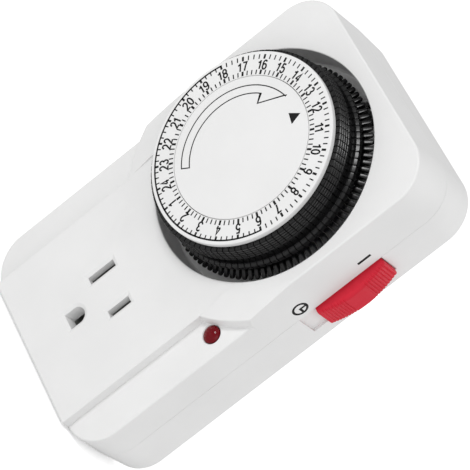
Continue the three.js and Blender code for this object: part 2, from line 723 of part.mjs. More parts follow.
// Plate that carries the mechanism, behind the well
function makePlate() {
  const outline = [[-plateLowWidth / 2, plateBottom], [plateLowWidth / 2, plateBottom],
    [plateLowWidth / 2, plateStep], [plateWidth / 2, plateStep], [plateWidth / 2, plateShoulder],
    [plateLowWidth / 2, plateShoulder], [plateLowWidth / 2, plateTop], [-plateLowWidth / 2, plateTop],
    [-plateLowWidth / 2, plateShoulder], [-plateWidth / 2, plateShoulder], [-plateWidth / 2, plateStep],
    [-plateLowWidth / 2, plateStep]];
  const sheet = plate(outline, plateFront, plateBack);
  const lugReach = pivotRadius + gap + lugRim;
  const lug = (z) => block([pivotX - lugReach, pivotX + lugReach], [-plateBack - gap, lugReach - pivotDepth],
    [z - lugThickness / 2, z + lugThickness / 2]);
  const lugPlace = leverWidth / 2 + gap + lugThickness / 2;
  const holes = [
    cylinder(hubRadius + wall / 3, plateFront + overrun, plateBack - overrun, 0, dialHeight),
    cylinder(arborRadius + gap, plateFront + overrun, plateBack - overrun, idlerX, idlerZ, tinySteps),
    noseWay(),
    ...plateBosses.map(([x, z]) => cylinder(screwRadius + gap, plateFront + overrun, plateBack - overrun, x, z,
      tinySteps)),
    ...motorFeet().map(([x, z]) => cylinder(motorFootRadius + gap, plateFront + overrun, plateBack - overrun, x, z,
      tinySteps)),
  ];
  const lugs = [lug(noseZ - lugPlace), lug(noseZ + lugPlace)];
  const pinHole = new THREE.CylinderGeometry(pivotRadius + gap, pivotRadius + gap, caseHeight, tinySteps);
  pinHole.rotateX(Math.PI / 2);
  pinHole.translate(pivotX, -pivotDepth, noseZ);
  add('mechanism_plate', cut(unite(sheet, ...lugs), solidOf(pinHole), ...holes), darkBoard);
}

const motorFeet = () => motorFootAngles.map((angle) => [
  motorX + motorRadius * motorFootShare * Math.cos(angle * degrees),
  motorZ + motorRadius * motorFootShare * Math.sin(angle * degrees)]);

// Clock motor with its geared output shaft, and the wheels between it and the dial
function makeTrain() {
  const holeEnd = (motorFront + motorBack) / 2;
  const can = turned([[0, motorBack], [motorRadius - motorRim, motorBack], [motorRadius, motorBack + motorRim],
    [motorRadius, motorFront - motorRim], [motorRadius - motorRim, motorFront], [0, motorFront]],
  motorX, motorZ, smallSteps * 2);
  const feet = motorFeet().map(([x, z]) =>
    cylinder(motorFootRadius, plateFront, motorFront - motorRim, x, z, tinySteps));
  const shaftHole = cylinder(arborRadius + gap, motorFront + overrun, holeEnd, shaftX, shaftZ, tinySteps);
  add('timer_motor', cut(unite(can, ...feet), shaftHole), steel);

  const pinionRoot = pitchRadiusOf(pinionTeeth) - gearModule * dedendumShare;
  const wheelPhase = motorDirection;
  const motorPinion = plate(gearOutline(pinionTeeth, meshedPhase(motorDirection, pinionTeeth), shaftX, shaftZ),
    wheelFront, wheelBack);
  const shaft = cylinder(arborRadius, wheelBack, holeEnd + gap, shaftX, shaftZ, tinySteps);
  const collar = cylinder(pinionRoot, wheelBack, motorFront + gap, shaftX, shaftZ, tinySteps);
  add('motor_pinion', unite(motorPinion, shaft, collar), brass);

  const large = plate(gearOutline(wheelTeeth, wheelPhase, idlerX, idlerZ), wheelFront, wheelBack);
  const small = plate(gearOutline(pinionTeeth, meshedPhase(idlerDirection, pinionTeeth), idlerX, idlerZ),
    wheelBack, gearBack);
  const bore = cylinder(arborRadius + gap, wheelFront + overrun, gearBack - overrun, idlerX, idlerZ, tinySteps);
  add('idler_gear', cut(unite(large, small), bore), acetal);
  add('idler_arbor', cylinder(arborRadius, plateFront, gearBack - wall / 2, idlerX, idlerZ, tinySteps), steel);
}

// Follower lever under the tab at the index, its pivot pin, and the snap switch that it presses
function makeFollower() {
  const nose = block([noseX - noseWidth / 2, noseX + noseWidth / 2], [-noseTip, -leverBack],
    [noseZ - noseLength / 2, noseZ + noseLength / 2]);
  const arm = block([noseX - noseWidth / 2, pivotX], [-leverFront, -leverBack],
    [noseZ - leverWidth / 2, noseZ + leverWidth / 2]);
  const along = (radius, length, steps) => {
    const geometry = new THREE.CylinderGeometry(radius, radius, length, steps);
    geometry.rotateX(Math.PI / 2);
    geometry.translate(pivotX, -pivotDepth, noseZ);
    return solidOf(geometry);
  };
  const eye = along(eyeRadius, leverWidth, smallSteps);
  add('follower_lever', cut(unite(nose, arm, eye), along(pivotRadius + gap, caseHeight, tinySteps)), acetal);
  add('follower_pivot', along(pivotRadius, leverWidth + 2 * (gap + lugThickness), tinySteps), steel);

  const body = block([plungerX + snapLeft, snapEnd], [-snapDepth, -stripBack],
    [noseZ + snapBottom, noseZ + snapTop]);
  const tip = leverBack - gap;
  const bore = cylinder(plungerRadius + gap, snapDepth + overrun, tip - plungerTravel - plungerLength - gap,
    plungerX, noseZ, tinySteps);
  add('snap_switch', cut(body, bore), darkBoard);
  add('switch_plunger', turned([[0, tip - plungerLength], [plungerRadius, tip - plungerLength],
    [plungerRadius, tip - plungerRadius / 2], [plungerRadius / 2, tip], [0, tip]], plungerX, noseZ, tinySteps), red);
}

// A spring contact: two leaves either side of a blade, joined behind
function wiper(x, z, spread, height) {
  const front = bandDepth - wall - gap;
  const back = front - contactLength;
  const outer = block([x - spread / 2, x + spread / 2], [-front, -back], [z - height / 2, z + height / 2]);
  const inner = block([x - spread / 2 + contactThickness, x + spread / 2 - contactThickness],
    [-front - overrun, -back - contactThickness], [z - height, z + height]);
  return cut(outer, inner);
}

const strip = (xs, zs) => block(xs, [-stripFront, -stripBack], zs);
const riser = (x, z, height, front, back) => block([x - contactThickness / 2, x + contactThickness / 2],
  [-front, -back], [z - height / 2, z + height / 2]);

// Copper strips from the plug to the switches and the outlet's contacts
function makeStrips() {
  const seat = bandDepth - wall - gap - contactLength + contactThickness;
  const half = stripWidth / 2;
  const across = (a, b) => [Math.min(a, b) - runWidth / 2, Math.max(a, b) + runWidth / 2];
  const lowest = outletHeight - half;
  add('neutral_strip', unite(
    strip(across(outlets.neutral, neutralRun), [plugHeight - half, plugHeight + half]),
    strip(across(neutralRun, neutralRun), [lowest, plugHeight + half]),
    strip(across(neutralRun, outlets.neutral), [lowest, outletHeight + half]),
    riser(outlets.neutral, outletHeight, stripWidth, seat, stripBack),
    wiper(outlets.neutral, outletHeight, contactSpread, neutralContactWidth),
  ), brass);

  const pad = (z) => block([padInner - padWidth / 2, padInner + padWidth / 2], [-padFront, -stripBack],
    [z - padWidth / 2, z + padWidth / 2]);
  const upperPad = bridgeBottom + bridgeLength - padWidth / 2 - gap;
  const lowerPad = bridgeBottom + padWidth / 2 + gap;
  const snapFoot = noseZ + snapBottom - gap;
  add('line_strip', unite(
    strip(across(outlets.hot, lineRun), [plugHeight - half, snapFoot]),
    strip(across(lineRun, lineRun), [upperPad - padWidth / 2, snapFoot]),
    strip([lineRun, padInner], [upperPad - padWidth / 2, upperPad + padWidth / 2]),
    pad(upperPad),
  ), brass);
  add('load_strip', unite(
    strip([snapEnd - runWidth, loadRun + runWidth / 2], [snapFoot - runWidth, snapFoot]),
    strip(across(loadRun, loadRun), [loadCross - half, snapFoot]),
    strip([padInner, loadRun], [lowerPad - padWidth / 2, lowerPad + padWidth / 2]),
    pad(lowerPad),
    strip([outlets.hot - half, loadRun], [loadCross - half, loadCross + half]),
    strip([outlets.hot - half, outlets.hot + half], [lowest, loadCross]),
    riser(outlets.hot, outletHeight, stripWidth, seat, stripBack),
    wiper(outlets.hot, outletHeight, contactSpread, contactWidth),
  ), brass);

  const level = (xs, zs) => block(xs, [-groundFront, -groundBack], zs);
  add('ground_strip', unite(
    level([-half, groundRun + runWidth / 2], [plugGroundZ - half, plugGroundZ + half]),
    level(across(groundRun, groundRun), [groundZ - half, plugGroundZ + half]),
    level([-half, groundRun + runWidth / 2], [groundZ - half, groundZ + half]),
    riser(0, groundZ, stripWidth, seat, groundBack),
    wiper(0, groundZ, groundSpread, contactWidth),
  ), brass);
}

// Plug: two blades and the ground pin, standing out of the back
function makePlug() {
  for (const [name, x] of [['neutral_blade', outlets.neutral], ['line_blade', outlets.hot]]) {
    const straight = bladeLength - bladeTaper;
    const levels = [[-wall, 0], [straight, 0], [bladeLength, bladeTaper]].map(([y, inset]) => {
      const w = bladeThickness / 2 - inset / 3;
      const h = bladeWidth / 2 - inset;
      return [[-w, -h], [w, -h], [w, h], [-w, h]].map(([a, b]) => [x + a, y, plugHeight + b]);
    });
    add(name, skin(levels), brass);
  }
  const round = groundPinRadius * 2 / 3;
  add('ground_pin', turned([[0, groundBack - gap], [groundPinRadius, groundBack - gap],
    [groundPinRadius, round - groundPinLength], [groundPinRadius / 2, round / 3 - groundPinLength],
    [0, -groundPinLength]], 0, plugGroundZ), brass);
}

// Red slide switch: crowned button outside, carrier inside with the bridge that shorts the timer's contacts
function makeSlide() {
  const base = halfWidth - recessDepth + gap;
  const outline = [[base, slideBottom], [halfWidth + slideEndRise - slideRound, slideBottom]];
  const sagitta = slideCrown - slideEndRise;
  for (let i = 0; i <= crownSteps; i += 1) {
    const share = i / crownSteps;
    const rise = 4 * share * (1 - share) * sagitta;
    outline.push([halfWidth + slideEndRise + rise,
      slideBottom + slideRound / 2 + share * (slideLength - slideRound)]);
  }
  outline.push([halfWidth + slideEndRise - slideRound, slideBottom + slideLength], [base, slideBottom + slideLength]);
  const pocket = block([base - overrun, base + neckReach + gap], [-neckFront - gap, gap - neckBack],
    [neckBottom - gap, neckBottom + neckLength + gap]);
  add('slide_button', cut(plate(outline, slideFront, slideBack), pocket), red);

  const inside = halfWidth - wall - gap;
  const neckTop = neckBottom + neckLength;
  const neck = block([carrierInner, base + neckReach], [-neckFront, -neckBack], [neckBottom, neckTop]);
  const flange = block([inside - flangeThickness, inside], [-neckFront - gap, neckReach - neckBack],
    [neckBottom - flangeMargin, neckTop + flangeMargin]);
  add('slide_carrier', unite(neck, flange), black);
  add('bypass_bridge', block([carrierInner - gap - bridgeThickness, carrierInner - gap],
    [-padFront, -neckBack], [bridgeBottom, bridgeBottom + bridgeLength]), brass);
}

// Neon lamp: red lens in the strip, bulb behind it, and its resistor
function makeLamp() {
  const flangeDepth = stripDepth - wall - gap;
  const inner = lensRadius - lensWall;
  const flange = lensRadius + lensFlange;
  add('neon_lens', turned([[inner, flangeDepth - lensFlange], [flange, flangeDepth - lensFlange],
    [flange, flangeDepth], [lensRadius, flangeDepth], [lensRadius, stripDepth + lensRise / 3],
    [lensRadius * 2 / 3, stripDepth + lensRise * 3 / 4], [0, stripDepth + lensRise], [0, stripDepth],
    [inner, stripDepth - lensWall]], lampX, lampZ), lensRed);
  const bulbFront = stripDepth - gap - lensWall;
  const bulbBack = bulbFront - bulbLength;
  const lead = (x, z, deep, shallow) => cylinder(leadRadius, deep, shallow, x, z, tinySteps / 2);
  add('neon_bulb', unite(turned([[0, bulbBack], [bulbRadius, bulbBack], [bulbRadius, bulbFront - bulbRadius],
    [bulbRadius / 2, bulbFront - gap], [0, bulbFront]], lampX, lampZ, tinySteps),
  lead(lampX + leadRadius * 2, lampZ, bulbBack + overrun, stripFront + gap)), glass);
  const resistorX = lampX - resistorSide;
  const resistorFront = bulbBack - gap;
  add('lamp_resistor', unite(cylinder(resistorRadius, resistorFront, resistorFront - resistorLength, resistorX, lampZ,
    tinySteps),
  lead(resistorX, lampZ, resistorFront + overrun, resistorFront - resistorLength - overrun)), band);
}

// Screws, with their heads towards the wall
function makeScrews() {
  const screw = (x, z, back, headHeight, headRadius, radius, length) => turned([[0, back], [headRadius, back],
    [headRadius, back + headHeight], [radius, back + headHeight], [radius, back + length], [0, back + length]],
  x, z, tinySteps);
  caseBosses.forEach(([x, z], i) => add(`case_screw_${i + 1}`,
    screw(x, z, caseHeadSink, caseHeadHeight, caseHeadRadius, caseScrewRadius, caseScrewLength), steel));
  const back = plateBack - gap - screwHeadHeight;
  screwBosses.forEach(([x, z], i) => add(`mechanism_screw_${i + 1}`,
    screw(x, z, back, screwHeadHeight, screwHeadRadius, screwRadius, screwLength), steel));
}

add('front_cover', frontCover(), white);
add('rear_cover', rearCover(), white);
makeDial();
makePost();
makePlate();
makeTrain();
makeFollower();
makeStrips();
makePlug();
makeSlide();
makeLamp();
makeScrews();

export default model;
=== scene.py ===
from math import cos, pi, radians, sin, sqrt, tan

import bmesh
import bpy
from mathutils import Matrix, Vector


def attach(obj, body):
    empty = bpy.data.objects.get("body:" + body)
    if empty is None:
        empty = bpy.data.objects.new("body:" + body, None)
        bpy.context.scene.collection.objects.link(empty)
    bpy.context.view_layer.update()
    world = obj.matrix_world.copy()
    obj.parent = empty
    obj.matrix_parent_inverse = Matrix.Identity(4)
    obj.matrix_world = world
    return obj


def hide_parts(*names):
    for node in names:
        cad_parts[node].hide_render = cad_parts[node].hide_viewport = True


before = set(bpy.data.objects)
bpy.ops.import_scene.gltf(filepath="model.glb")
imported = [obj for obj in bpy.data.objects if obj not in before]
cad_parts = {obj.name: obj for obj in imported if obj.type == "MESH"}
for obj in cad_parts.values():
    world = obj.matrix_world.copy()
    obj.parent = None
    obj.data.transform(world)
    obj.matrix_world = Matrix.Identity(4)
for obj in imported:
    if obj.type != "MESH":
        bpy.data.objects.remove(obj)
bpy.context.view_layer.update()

MM = 0.001
GAP = 0.3  # clearance between pieces
PAST = 1  # how far a cutter passes the face that it opens
TINY = 1e-6  # metres
FLAT_ANGLE, SHARP_ANGLE = 0.2, 30.0  # degrees
SCENE = bpy.context.scene

# Case
CASE_WIDTH, CASE_HEIGHT, CASE_CORNER = 72.2, 118.7, 11.5
DRAFT, WALL, FRONT_ROUND, REAR_ROUND = 0.35, 2.2, 0.6, 1.0
PARTING, STRIP, BAND, PLATFORM = 13.36, 23.2, 26.2, 27.7
BAND_WIDTH, BAND_EDGE = 50.2, 0.35
PLATFORM_RADIUS, PLATFORM_SLOPE, PLATFORM_EDGE = 42.7, 1.0, 0.5
BROW_TURN, BROW_LAND = 72, 3.4
HALF_WIDTH, HALF_HEIGHT = CASE_WIDTH / 2, CASE_HEIGHT / 2
SEAM = 0.08  # the split line between the shells
FRONT_FROM, REAR_FROM = PARTING + SEAM / 2, PARTING - SEAM / 2

# Dial and its well
DIAL_Z = 22.1
WELL_RADIUS, WELL_WALL, WELL_DEPTH, WELL_FLOOR = 32.6, 1.85, 9.5, 1.6
WELL_EDGE, WELL_FILLET, RAMP_LAND = 0.35, 0.4, 0.8
WELL_BOTTOM = PLATFORM - WELL_DEPTH
DIAL_FACE, FACE_THICKNESS = 38.66, 0.76
FACE_BACK = DIAL_FACE - FACE_THICKNESS
RING_RADIUS, RING_BEVEL, RING_EASE, DISC_RADIUS, DISC_EDGE = 26.85, 0.3, 0.1, 19.85, 0.08
SKIRT_RADIUS, SKIRT_BACK, STEM_RADIUS, STEM_LENGTH, DISC_GAP = 25.5, 37.05, 2, 7, 0.18
NOON = 13.3  # the printed 12's clockwise angle from the top, in degrees
HOURS, TABS_PER_HOUR = 24, 4
HOUR = 360 / HOURS
TAB_PITCH = HOUR / TABS_PER_HOUR

# Steps of the curves
ROUND, SMALL, CORNER_STEPS, EDGE_STEPS = 192, 32, 16, 6


# Solids
def sink(name, verts, faces):
    """A mesh object from millimetre points."""
    mesh = bpy.data.meshes.new(name)
    mesh.from_pydata([(x * MM, y * MM, z * MM) for x, y, z in verts], [], faces)
    work = bmesh.new()
    work.from_mesh(mesh)
    bmesh.ops.remove_doubles(work, verts=work.verts, dist=TINY)
    bmesh.ops.recalc_face_normals(work, faces=work.faces)
    work.to_mesh(mesh)
    work.free()
    obj = bpy.data.objects.new(name, mesh)
    SCENE.collection.objects.link(obj)
    return obj


def lathe(profile, x=0.0, z=0.0, steps=ROUND):
    """A closed profile of (radius, depth) turned about the line along Y through x, z."""
    verts, faces = [], []
    count = len(profile)
    for i in range(steps):
        turn = 2 * pi * i / steps
        verts += [(x + r * sin(turn), -d, z + r * cos(turn)) for r, d in profile]
    for i in range(steps):
        j = (i + 1) % steps
        for k in range(count):
            m = (k + 1) % count
            if profile[k][0] == 0 and profile[m][0] == 0:
                continue
            quad = [i * count + k, j * count + k, j * count + m, i * count + m]
            if profile[k][0] == 0:
                quad = [quad[0], quad[2], quad[3]]
            elif profile[m][0] == 0:
                quad = [quad[0], quad[1], quad[2]]
            faces.append(quad)
    return sink("lathe", verts, faces)


def drum(radius, deep, shallow, x=0.0, z=0.0, steps=SMALL):
    return lathe([(0, shallow), (radius, shallow), (radius, deep), (0, deep)], x, z, steps)


def stack(levels):
    """Like outlines of (x, y, z) points, skinned into one closed solid."""
    count = len(levels[0])
    verts = [p for level in levels for p in level]
    faces = [list(range(count)), [len(verts) - 1 - i for i in range(count)]]
    for k in range(len(levels) - 1):
        for i in range(count):
            j = (i + 1) % count
            low, high = k * count, (k + 1) * count
            faces.append([low + i, low + j, high + j, high + i])
    return sink("stack", verts, faces)


def prism(outline, deep, shallow):
    """An outline of (x, z) points between two depths."""
    return stack([[(x, -d, z) for x, z in outline] for d in (shallow, deep)])


def bar(outline, low, high):
    """An outline of (x, depth) points between two heights."""
    return stack([[(x, -d, z) for x, d in outline] for z in (low, high)])


def block(xs, depths, zs):
    corners = [(xs[0], zs[0]), (xs[1], zs[0]), (xs[1], zs[1]), (xs[0], zs[1])]
    return prism(corners, max(depths), min(depths))


def drop(obj):
    mesh = obj.data
    bpy.data.objects.remove(obj)
    bpy.data.meshes.remove(mesh)


def combine(base, tools, operation):
    """Join, cut or intersect solids one after another; the tools are used up."""
    for tool in tools:
        step = base.modifiers.new("step", "BOOLEAN")
        step.operation, step.object, step.solver = operation, tool, "MANIFOLD"
        seen = base.evaluated_get(bpy.context.evaluated_depsgraph_get())
        mesh = bpy.data.meshes.new_from_object(seen)
        old = base.data
        base.modifiers.clear()
        base.data = mesh
        bpy.data.meshes.remove(old)
        drop(tool)
    return base


def join(base, *tools):
    return combine(base, tools, "UNION")


def cut(base, *tools):
    return combine(base, tools, "DIFFERENCE")


def common(base, *tools):
    return combine(base, tools, "INTERSECT")


def merge(name, objects):
    """Several closed solids that don't touch, in one mesh."""
    work = bmesh.new()
    for obj in objects:
        work.from_mesh(obj.data)
        drop(obj)
    mesh = bpy.data.meshes.new(name)
    work.to_mesh(mesh)
    work.free()
    obj = bpy.data.objects.new(name, mesh)
    SCENE.collection.objects.link(obj)
    return obj


def finish(obj, name, body, material, nodes=(), sharp=SHARP_ANGLE, weighted=True):
    """Clean a piece, smooth it, dress it and tie it to its body."""
    obj.name = obj.data.name = name
    work = bmesh.new()
    work.from_mesh(obj.data)
    bmesh.ops.remove_doubles(work, verts=work.verts, dist=2 * TINY)
    bmesh.ops.dissolve_degenerate(work, edges=work.edges, dist=TINY)
    bmesh.ops.dissolve_limit(work, angle_limit=radians(FLAT_ANGLE), verts=work.verts, edges=work.edges)
    bmesh.ops.triangulate(work, faces=[f for f in work.faces if len(f.verts) > 4])
    bmesh.ops.recalc_face_normals(work, faces=work.faces)
    work.to_mesh(obj.data)
    work.free()
    obj.data.shade_smooth()
    obj.data.set_sharp_from_angle(angle=radians(sharp))
    if weighted:
        soften = obj.modifiers.new("weighted", "WEIGHTED_NORMAL")
        soften.keep_sharp = True
    obj.data.materials.clear()
    obj.data.materials.append(material)
    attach(obj, body)
    if nodes:
        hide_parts(*nodes)
    return obj


# Materials; the scales are in features a metre
DRIFT_SCALE, GRAIN_SCALE, GLOSS_SCALE = 55.0, 2600.0, 180.0
LINE_SCALE, STAIN_SCALE, CLOUD_SCALE, SMEAR_SCALE, PAPER_SCALE = 900.0, 120.0, 400.0, 700.0, 8.0
NOISE_LOW, NOISE_HIGH, CLEAR_IOR = 0.3, 0.7, 1.49


def shader(name):
    material = bpy.data.materials.new(name)
    material.use_nodes = True
    tree = material.node_tree
    return material, tree, tree.nodes["Principled BSDF"]


def grain(tree, scale, detail=4.0, stretch=(1, 1, 1)):
    """A noise texture in object space."""
    where = tree.nodes.new("ShaderNodeTexCoord")
    place = tree.nodes.new("ShaderNodeMapping")
    place.inputs["Scale"].default_value = stretch
    noise = tree.nodes.new("ShaderNodeTexNoise")
    noise.inputs["Scale"].default_value = scale
    noise.inputs["Detail"].default_value = detail
    tree.links.new(where.outputs["Object"], place.inputs["Vector"])
    tree.links.new(place.outputs["Vector"], noise.inputs["Vector"])
    return noise.outputs["Fac"]


def span(tree, value, low, high):
    """Map a noise value to a range."""
    node = tree.nodes.new("ShaderNodeMapRange")
    for socket, limit in (("From Min", NOISE_LOW), ("From Max", NOISE_HIGH), ("To Min", low), ("To Max", high)):
        node.inputs[socket].default_value = limit
    tree.links.new(value, node.inputs["Value"])
    return node.outputs["Result"]


def tint(tree, value, dark, light, socket):
    """Mix two colours by a value and link the result to a socket."""
    node = tree.nodes.new("ShaderNodeMix")
    node.data_type = "RGBA"
    node.inputs[6].default_value, node.inputs[7].default_value = (*dark, 1), (*light, 1)
    tree.links.new(value, node.inputs[0])
    tree.links.new(node.outputs[2], socket)


def bumpy(tree, value, bsdf, strength, distance):
    node = tree.nodes.new("ShaderNodeBump")
    node.inputs["Strength"].default_value = strength
    node.inputs["Distance"].default_value = distance
    tree.links.new(value, node.inputs["Height"])
    tree.links.new(node.outputs["Normal"], bsdf.inputs["Normal"])


def plastic(name, colour, rough, texture=0.25, depth=0.00002, drift=0.02, specular=0.5):
    """Moulded plastic: faint colour drift, a spark-eroded grain, uneven gloss."""
    material, tree, bsdf = shader(name)
    drifted = span(tree, grain(tree, DRIFT_SCALE, 3.0), 0.0, 1.0)
    light = [min(1.0, c * (1 + drift)) for c in colour]
    tint(tree, drifted, [c * (1 - drift) for c in colour], light, bsdf.inputs["Base Color"])
    fine = grain(tree, GRAIN_SCALE, 5.0)
    gloss = span(tree, grain(tree, GLOSS_SCALE), rough * 0.9, rough * 1.12)
    tree.links.new(gloss, bsdf.inputs["Roughness"])
    bsdf.inputs["Specular IOR Level"].default_value = specular
    bumpy(tree, fine, bsdf, texture, depth)
    return material


def metal(name, colour, rough, stretch=(1, 14, 1), tarnish=0.12):
    """Rolled or drawn metal: grain along the strip, slight tarnish."""
    material, tree, bsdf = shader(name)
    bsdf.inputs["Metallic"].default_value = 1.0
    lines = grain(tree, LINE_SCALE, 6.0, stretch)
    stain = span(tree, grain(tree, STAIN_SCALE, 3.0), 0.0, 1.0)
    tint(tree, stain, [c * (1 - tarnish) for c in colour], colour, bsdf.inputs["Base Color"])
    tree.links.new(span(tree, lines, rough * 0.75, rough * 1.3), bsdf.inputs["Roughness"])
    bumpy(tree, lines, bsdf, 0.15, 0.00001)
    return material


def clear(name, colour, rough, transmission, drift=0.1, specular=0.5):
    """Tinted clear plastic or glass."""
    material, tree, bsdf = shader(name)
    cloud = span(tree, grain(tree, CLOUD_SCALE), 0.0, 1.0)
    tint(tree, cloud, [c * (1 - drift) for c in colour], colour, bsdf.inputs["Base Color"])
    smear = span(tree, grain(tree, SMEAR_SCALE), rough * 0.7, rough * 1.3)
    tree.links.new(smear, bsdf.inputs["Roughness"])
    bsdf.inputs["Transmission Weight"].default_value = transmission
    bsdf.inputs["Specular IOR Level"].default_value = specular
    bsdf.inputs["IOR"].default_value = CLEAR_IOR
    return material


WHITE = plastic("case_plastic", (0.83, 0.83, 0.828), 0.5, texture=0.2, specular=0.3)
DIAL_WHITE = plastic("dial_plastic", (0.815, 0.815, 0.813), 0.42, texture=0.12, specular=0.35)
BLACK = plastic("tab_plastic", (0.005, 0.005, 0.0053), 0.25, texture=0.1, drift=0.12, specular=0.36)
PRINT_BLACK = plastic("print_ink", (0.006, 0.006, 0.0065), 0.5, texture=0.3, depth=0.000004,
                      specular=0.2)
RED = plastic("button_plastic", (0.66, 0.02, 0.042), 0.45, texture=0.15, drift=0.04, specular=0.16)
PLUNGER_RED = plastic("plunger_plastic", (0.5, 0.02, 0.02), 0.4)
ACETAL = plastic("acetal", (0.78, 0.74, 0.64), 0.45)
DARK = plastic("board_plastic", (0.03, 0.03, 0.034), 0.55)
CARRIER = plastic("carrier_plastic", (0.02, 0.02, 0.02), 0.5)
RESISTOR = plastic("resistor_lacquer", (0.42, 0.26, 0.13), 0.4, drift=0.08)
BRASS = metal("contact_brass", (0.78, 0.60, 0.28), 0.28)
TINNED = metal("tinned_strip", (0.46, 0.46, 0.45), 0.34)
# Painted shade: the follower lever is coloured near black so that, where it shows through the nose slot in the
# well's floor by the nib, it reads as shade.
LEVER_SHADE_BLACK = plastic("lever_plastic_painted_shade", (0.03, 0.03, 0.032), 0.5)
PRONG = metal("prong_brass", (0.82, 0.66, 0.36), 0.2, (1, 1, 8))
STEEL = metal("plated_steel", (0.62, 0.62, 0.64), 0.3)
LENS = clear("lens_plastic", (0.17, 0.002, 0.007), 0.07, 0.1, specular=0.16)
GLASS = clear("bulb_glass", (0.95, 0.9, 0.86), 0.03, 0.9)

CAD_LOOK = {
    "rear_cover": WHITE, "front_cover": WHITE, "number_ring": DIAL_WHITE, "centre_disc": DIAL_WHITE,
    "dial_drum": BLACK, "dial_gear": ACETAL, "idler_gear": ACETAL, "follower_lever": LEVER_SHADE_BLACK,
    "dial_post": STEEL, "dial_clip": STEEL, "timer_motor": STEEL, "idler_arbor": STEEL,
    "follower_pivot": STEEL, "mechanism_plate": DARK, "snap_switch": DARK, "motor_pinion": BRASS,
    "neutral_strip": TINNED,
    "line_strip": TINNED, "load_strip": TINNED, "ground_strip": TINNED, "bypass_bridge": BRASS,
    "neutral_blade": PRONG, "line_blade": PRONG, "ground_pin": PRONG, "slide_carrier": CARRIER,
    "slide_button": RED, "switch_plunger": PLUNGER_RED, "neon_lens": LENS, "neon_bulb": GLASS,
    "lamp_resistor": RESISTOR,
}


def dress_cad():
    """Give every CAD node the look of its material; the replaced ones are hidden later."""
    for name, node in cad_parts.items():
        look = CAD_LOOK.get(name, BLACK if name.startswith("trip_tabs") else STEEL)
        slots = node.material_slots
        if len(slots) == 0:
            node.data.materials.append(look)
        for place in slots:
            place.material = look


# Case
def case_outline(inset):
    """The case's rounded rectangle in (x, z)."""
    points = []
    radius = CASE_CORNER - inset
    x, z = HALF_WIDTH - CASE_CORNER, HALF_HEIGHT - CASE_CORNER
    for sx, sz, start in ((1, 1, 0), (-1, 1, 1), (-1, -1, 2), (1, -1, 3)):
        for i in range(CORNER_STEPS + 1):
            angle = (start + i / CORNER_STEPS) * pi / 2
            points.append((sx * x + radius * cos(angle), sz * z + radius * sin(angle)))
    return points


def rounded_body(start, face):
    """A drafted wall that rounds over into a flat face."""
    way, reach = (1, FRONT_ROUND) if face > start else (-1, REAR_ROUND)
    levels = [[(x, -start, z) for x, z in case_outline(0)]]
    for i in range(EDGE_STEPS + 1):
        angle = i / EDGE_STEPS * pi / 2
        depth = face - way * reach * (1 - sin(angle))
        levels.append([(x, -depth, z) for x, z in case_outline(DRAFT + reach * (1 - cos(angle)))])
    return stack(levels)


def ellipse(centre, radii, start, end, steps):
    """Points of an upright ellipse's arc, angles in degrees."""
    turns = [radians(start + (end - start) * i / steps) for i in range(steps + 1)]
    return [(centre[0] + radii[0] * cos(turn), centre[1] + radii[1] * sin(turn)) for turn in turns]


def rounded(centre, radius, start, end, steps=EDGE_STEPS):
    return ellipse(centre, (radius, radius), start, end, steps)


def ground_outline(width, height, x, z):
    """The ground hole: round at the top, square below."""
    radius = width / 2
    top = z + height / 2 - radius
    return [(x + radius, z - height / 2)] + rounded((x, top), radius, 0, 180, SMALL // 2) \
        + [(x - radius, z - height / 2)]


OUTLET_Z, SPACING, GROUND_DROP = -30.7, 12.7, 11.9
NEUTRAL_SLOT, HOT_SLOT, SLOT_WIDTH = 8.5, 7.0, 2.3
GROUND_WIDTH, GROUND_HEIGHT, MOUTH = 5.0, 5.6, 0.25
FUNNEL_WIDTH, FUNNEL_DEPTH, TUNNEL_WALL, CONTACT_DEPTH = 0.9, 0.55, 1.0, 2.4
TUNNEL, GROUND_TUNNEL, TUNNEL_PAST, GROUND_NARROWS = 2.75, 4.7, 0.5, 0.2
GROUND_Z = OUTLET_Z - GROUND_DROP
PLUG_Z = 42.3
PIN_Z = PLUG_Z - GROUND_DROP
CASE_SCREWS = [(sx * 28.4, sz * 51.4) for sx, sz in ((-1, -1), (-1, 1), (1, -1), (1, 1))]
LAMP_X, LAMP_Z, LENS_RADIUS, LENS_RISE, LENS_FLANGE, LENS_PLAY = 29.75, -12.7, 2.45, 1.05, 0.7, 0.15
BOSS_RADIUS, SCREW_HOLE, SCREW_HOLE_END = 3.3, 1.7, 18.6
HUB_HOLE, FOLLOWER_XS, FOLLOWER_ZS = 8.1, (-2.3, 5.3), (48.6, 52.2)
# Each contact chamber: middle, inner width and height
CHAMBERS = ((-SPACING / 2, OUTLET_Z, 3.6, 9.0), (SPACING / 2, OUTLET_Z, 3.6, 7.0), (0, GROUND_Z, 6.2, 7.0))
CHAMBER_WALL, CHAMBER_DEPTH = 1.2, 12.4
# The small pointer on the well's edge, upright and then turned about the dial's middle
NIB, NIB_FROM, NIB_TO, NIB_TURN = ((-0.3, 32.5), (0.3, 32.5), (0.5, 33.4), (-0.5, 33.4)), 1.4, 0.3, 14


def flared(outline_at, face, depth, narrow):
    """A hole's cutter whose mouth has a small chamfer at the face and which narrows above the contact."""
    levels = [(face + PAST, FUNNEL_WIDTH), (face, FUNNEL_WIDTH), (face - FUNNEL_DEPTH, 0.0),
              (face - CONTACT_DEPTH, -narrow), (depth, -narrow)]
    return stack([[(x, -d, z) for x, z in outline_at(grow)] for d, grow in levels])


def slot_outline(x, z, width, height):
    """A blade's slot as a function of how far its outline is grown."""
    def outline_at(grow):
        wide, high = width / 2 + grow, height / 2 + grow
        return [(x - wide, z - high), (x + wide, z - high), (x + wide, z + high), (x - wide, z + high)]
    return outline_at


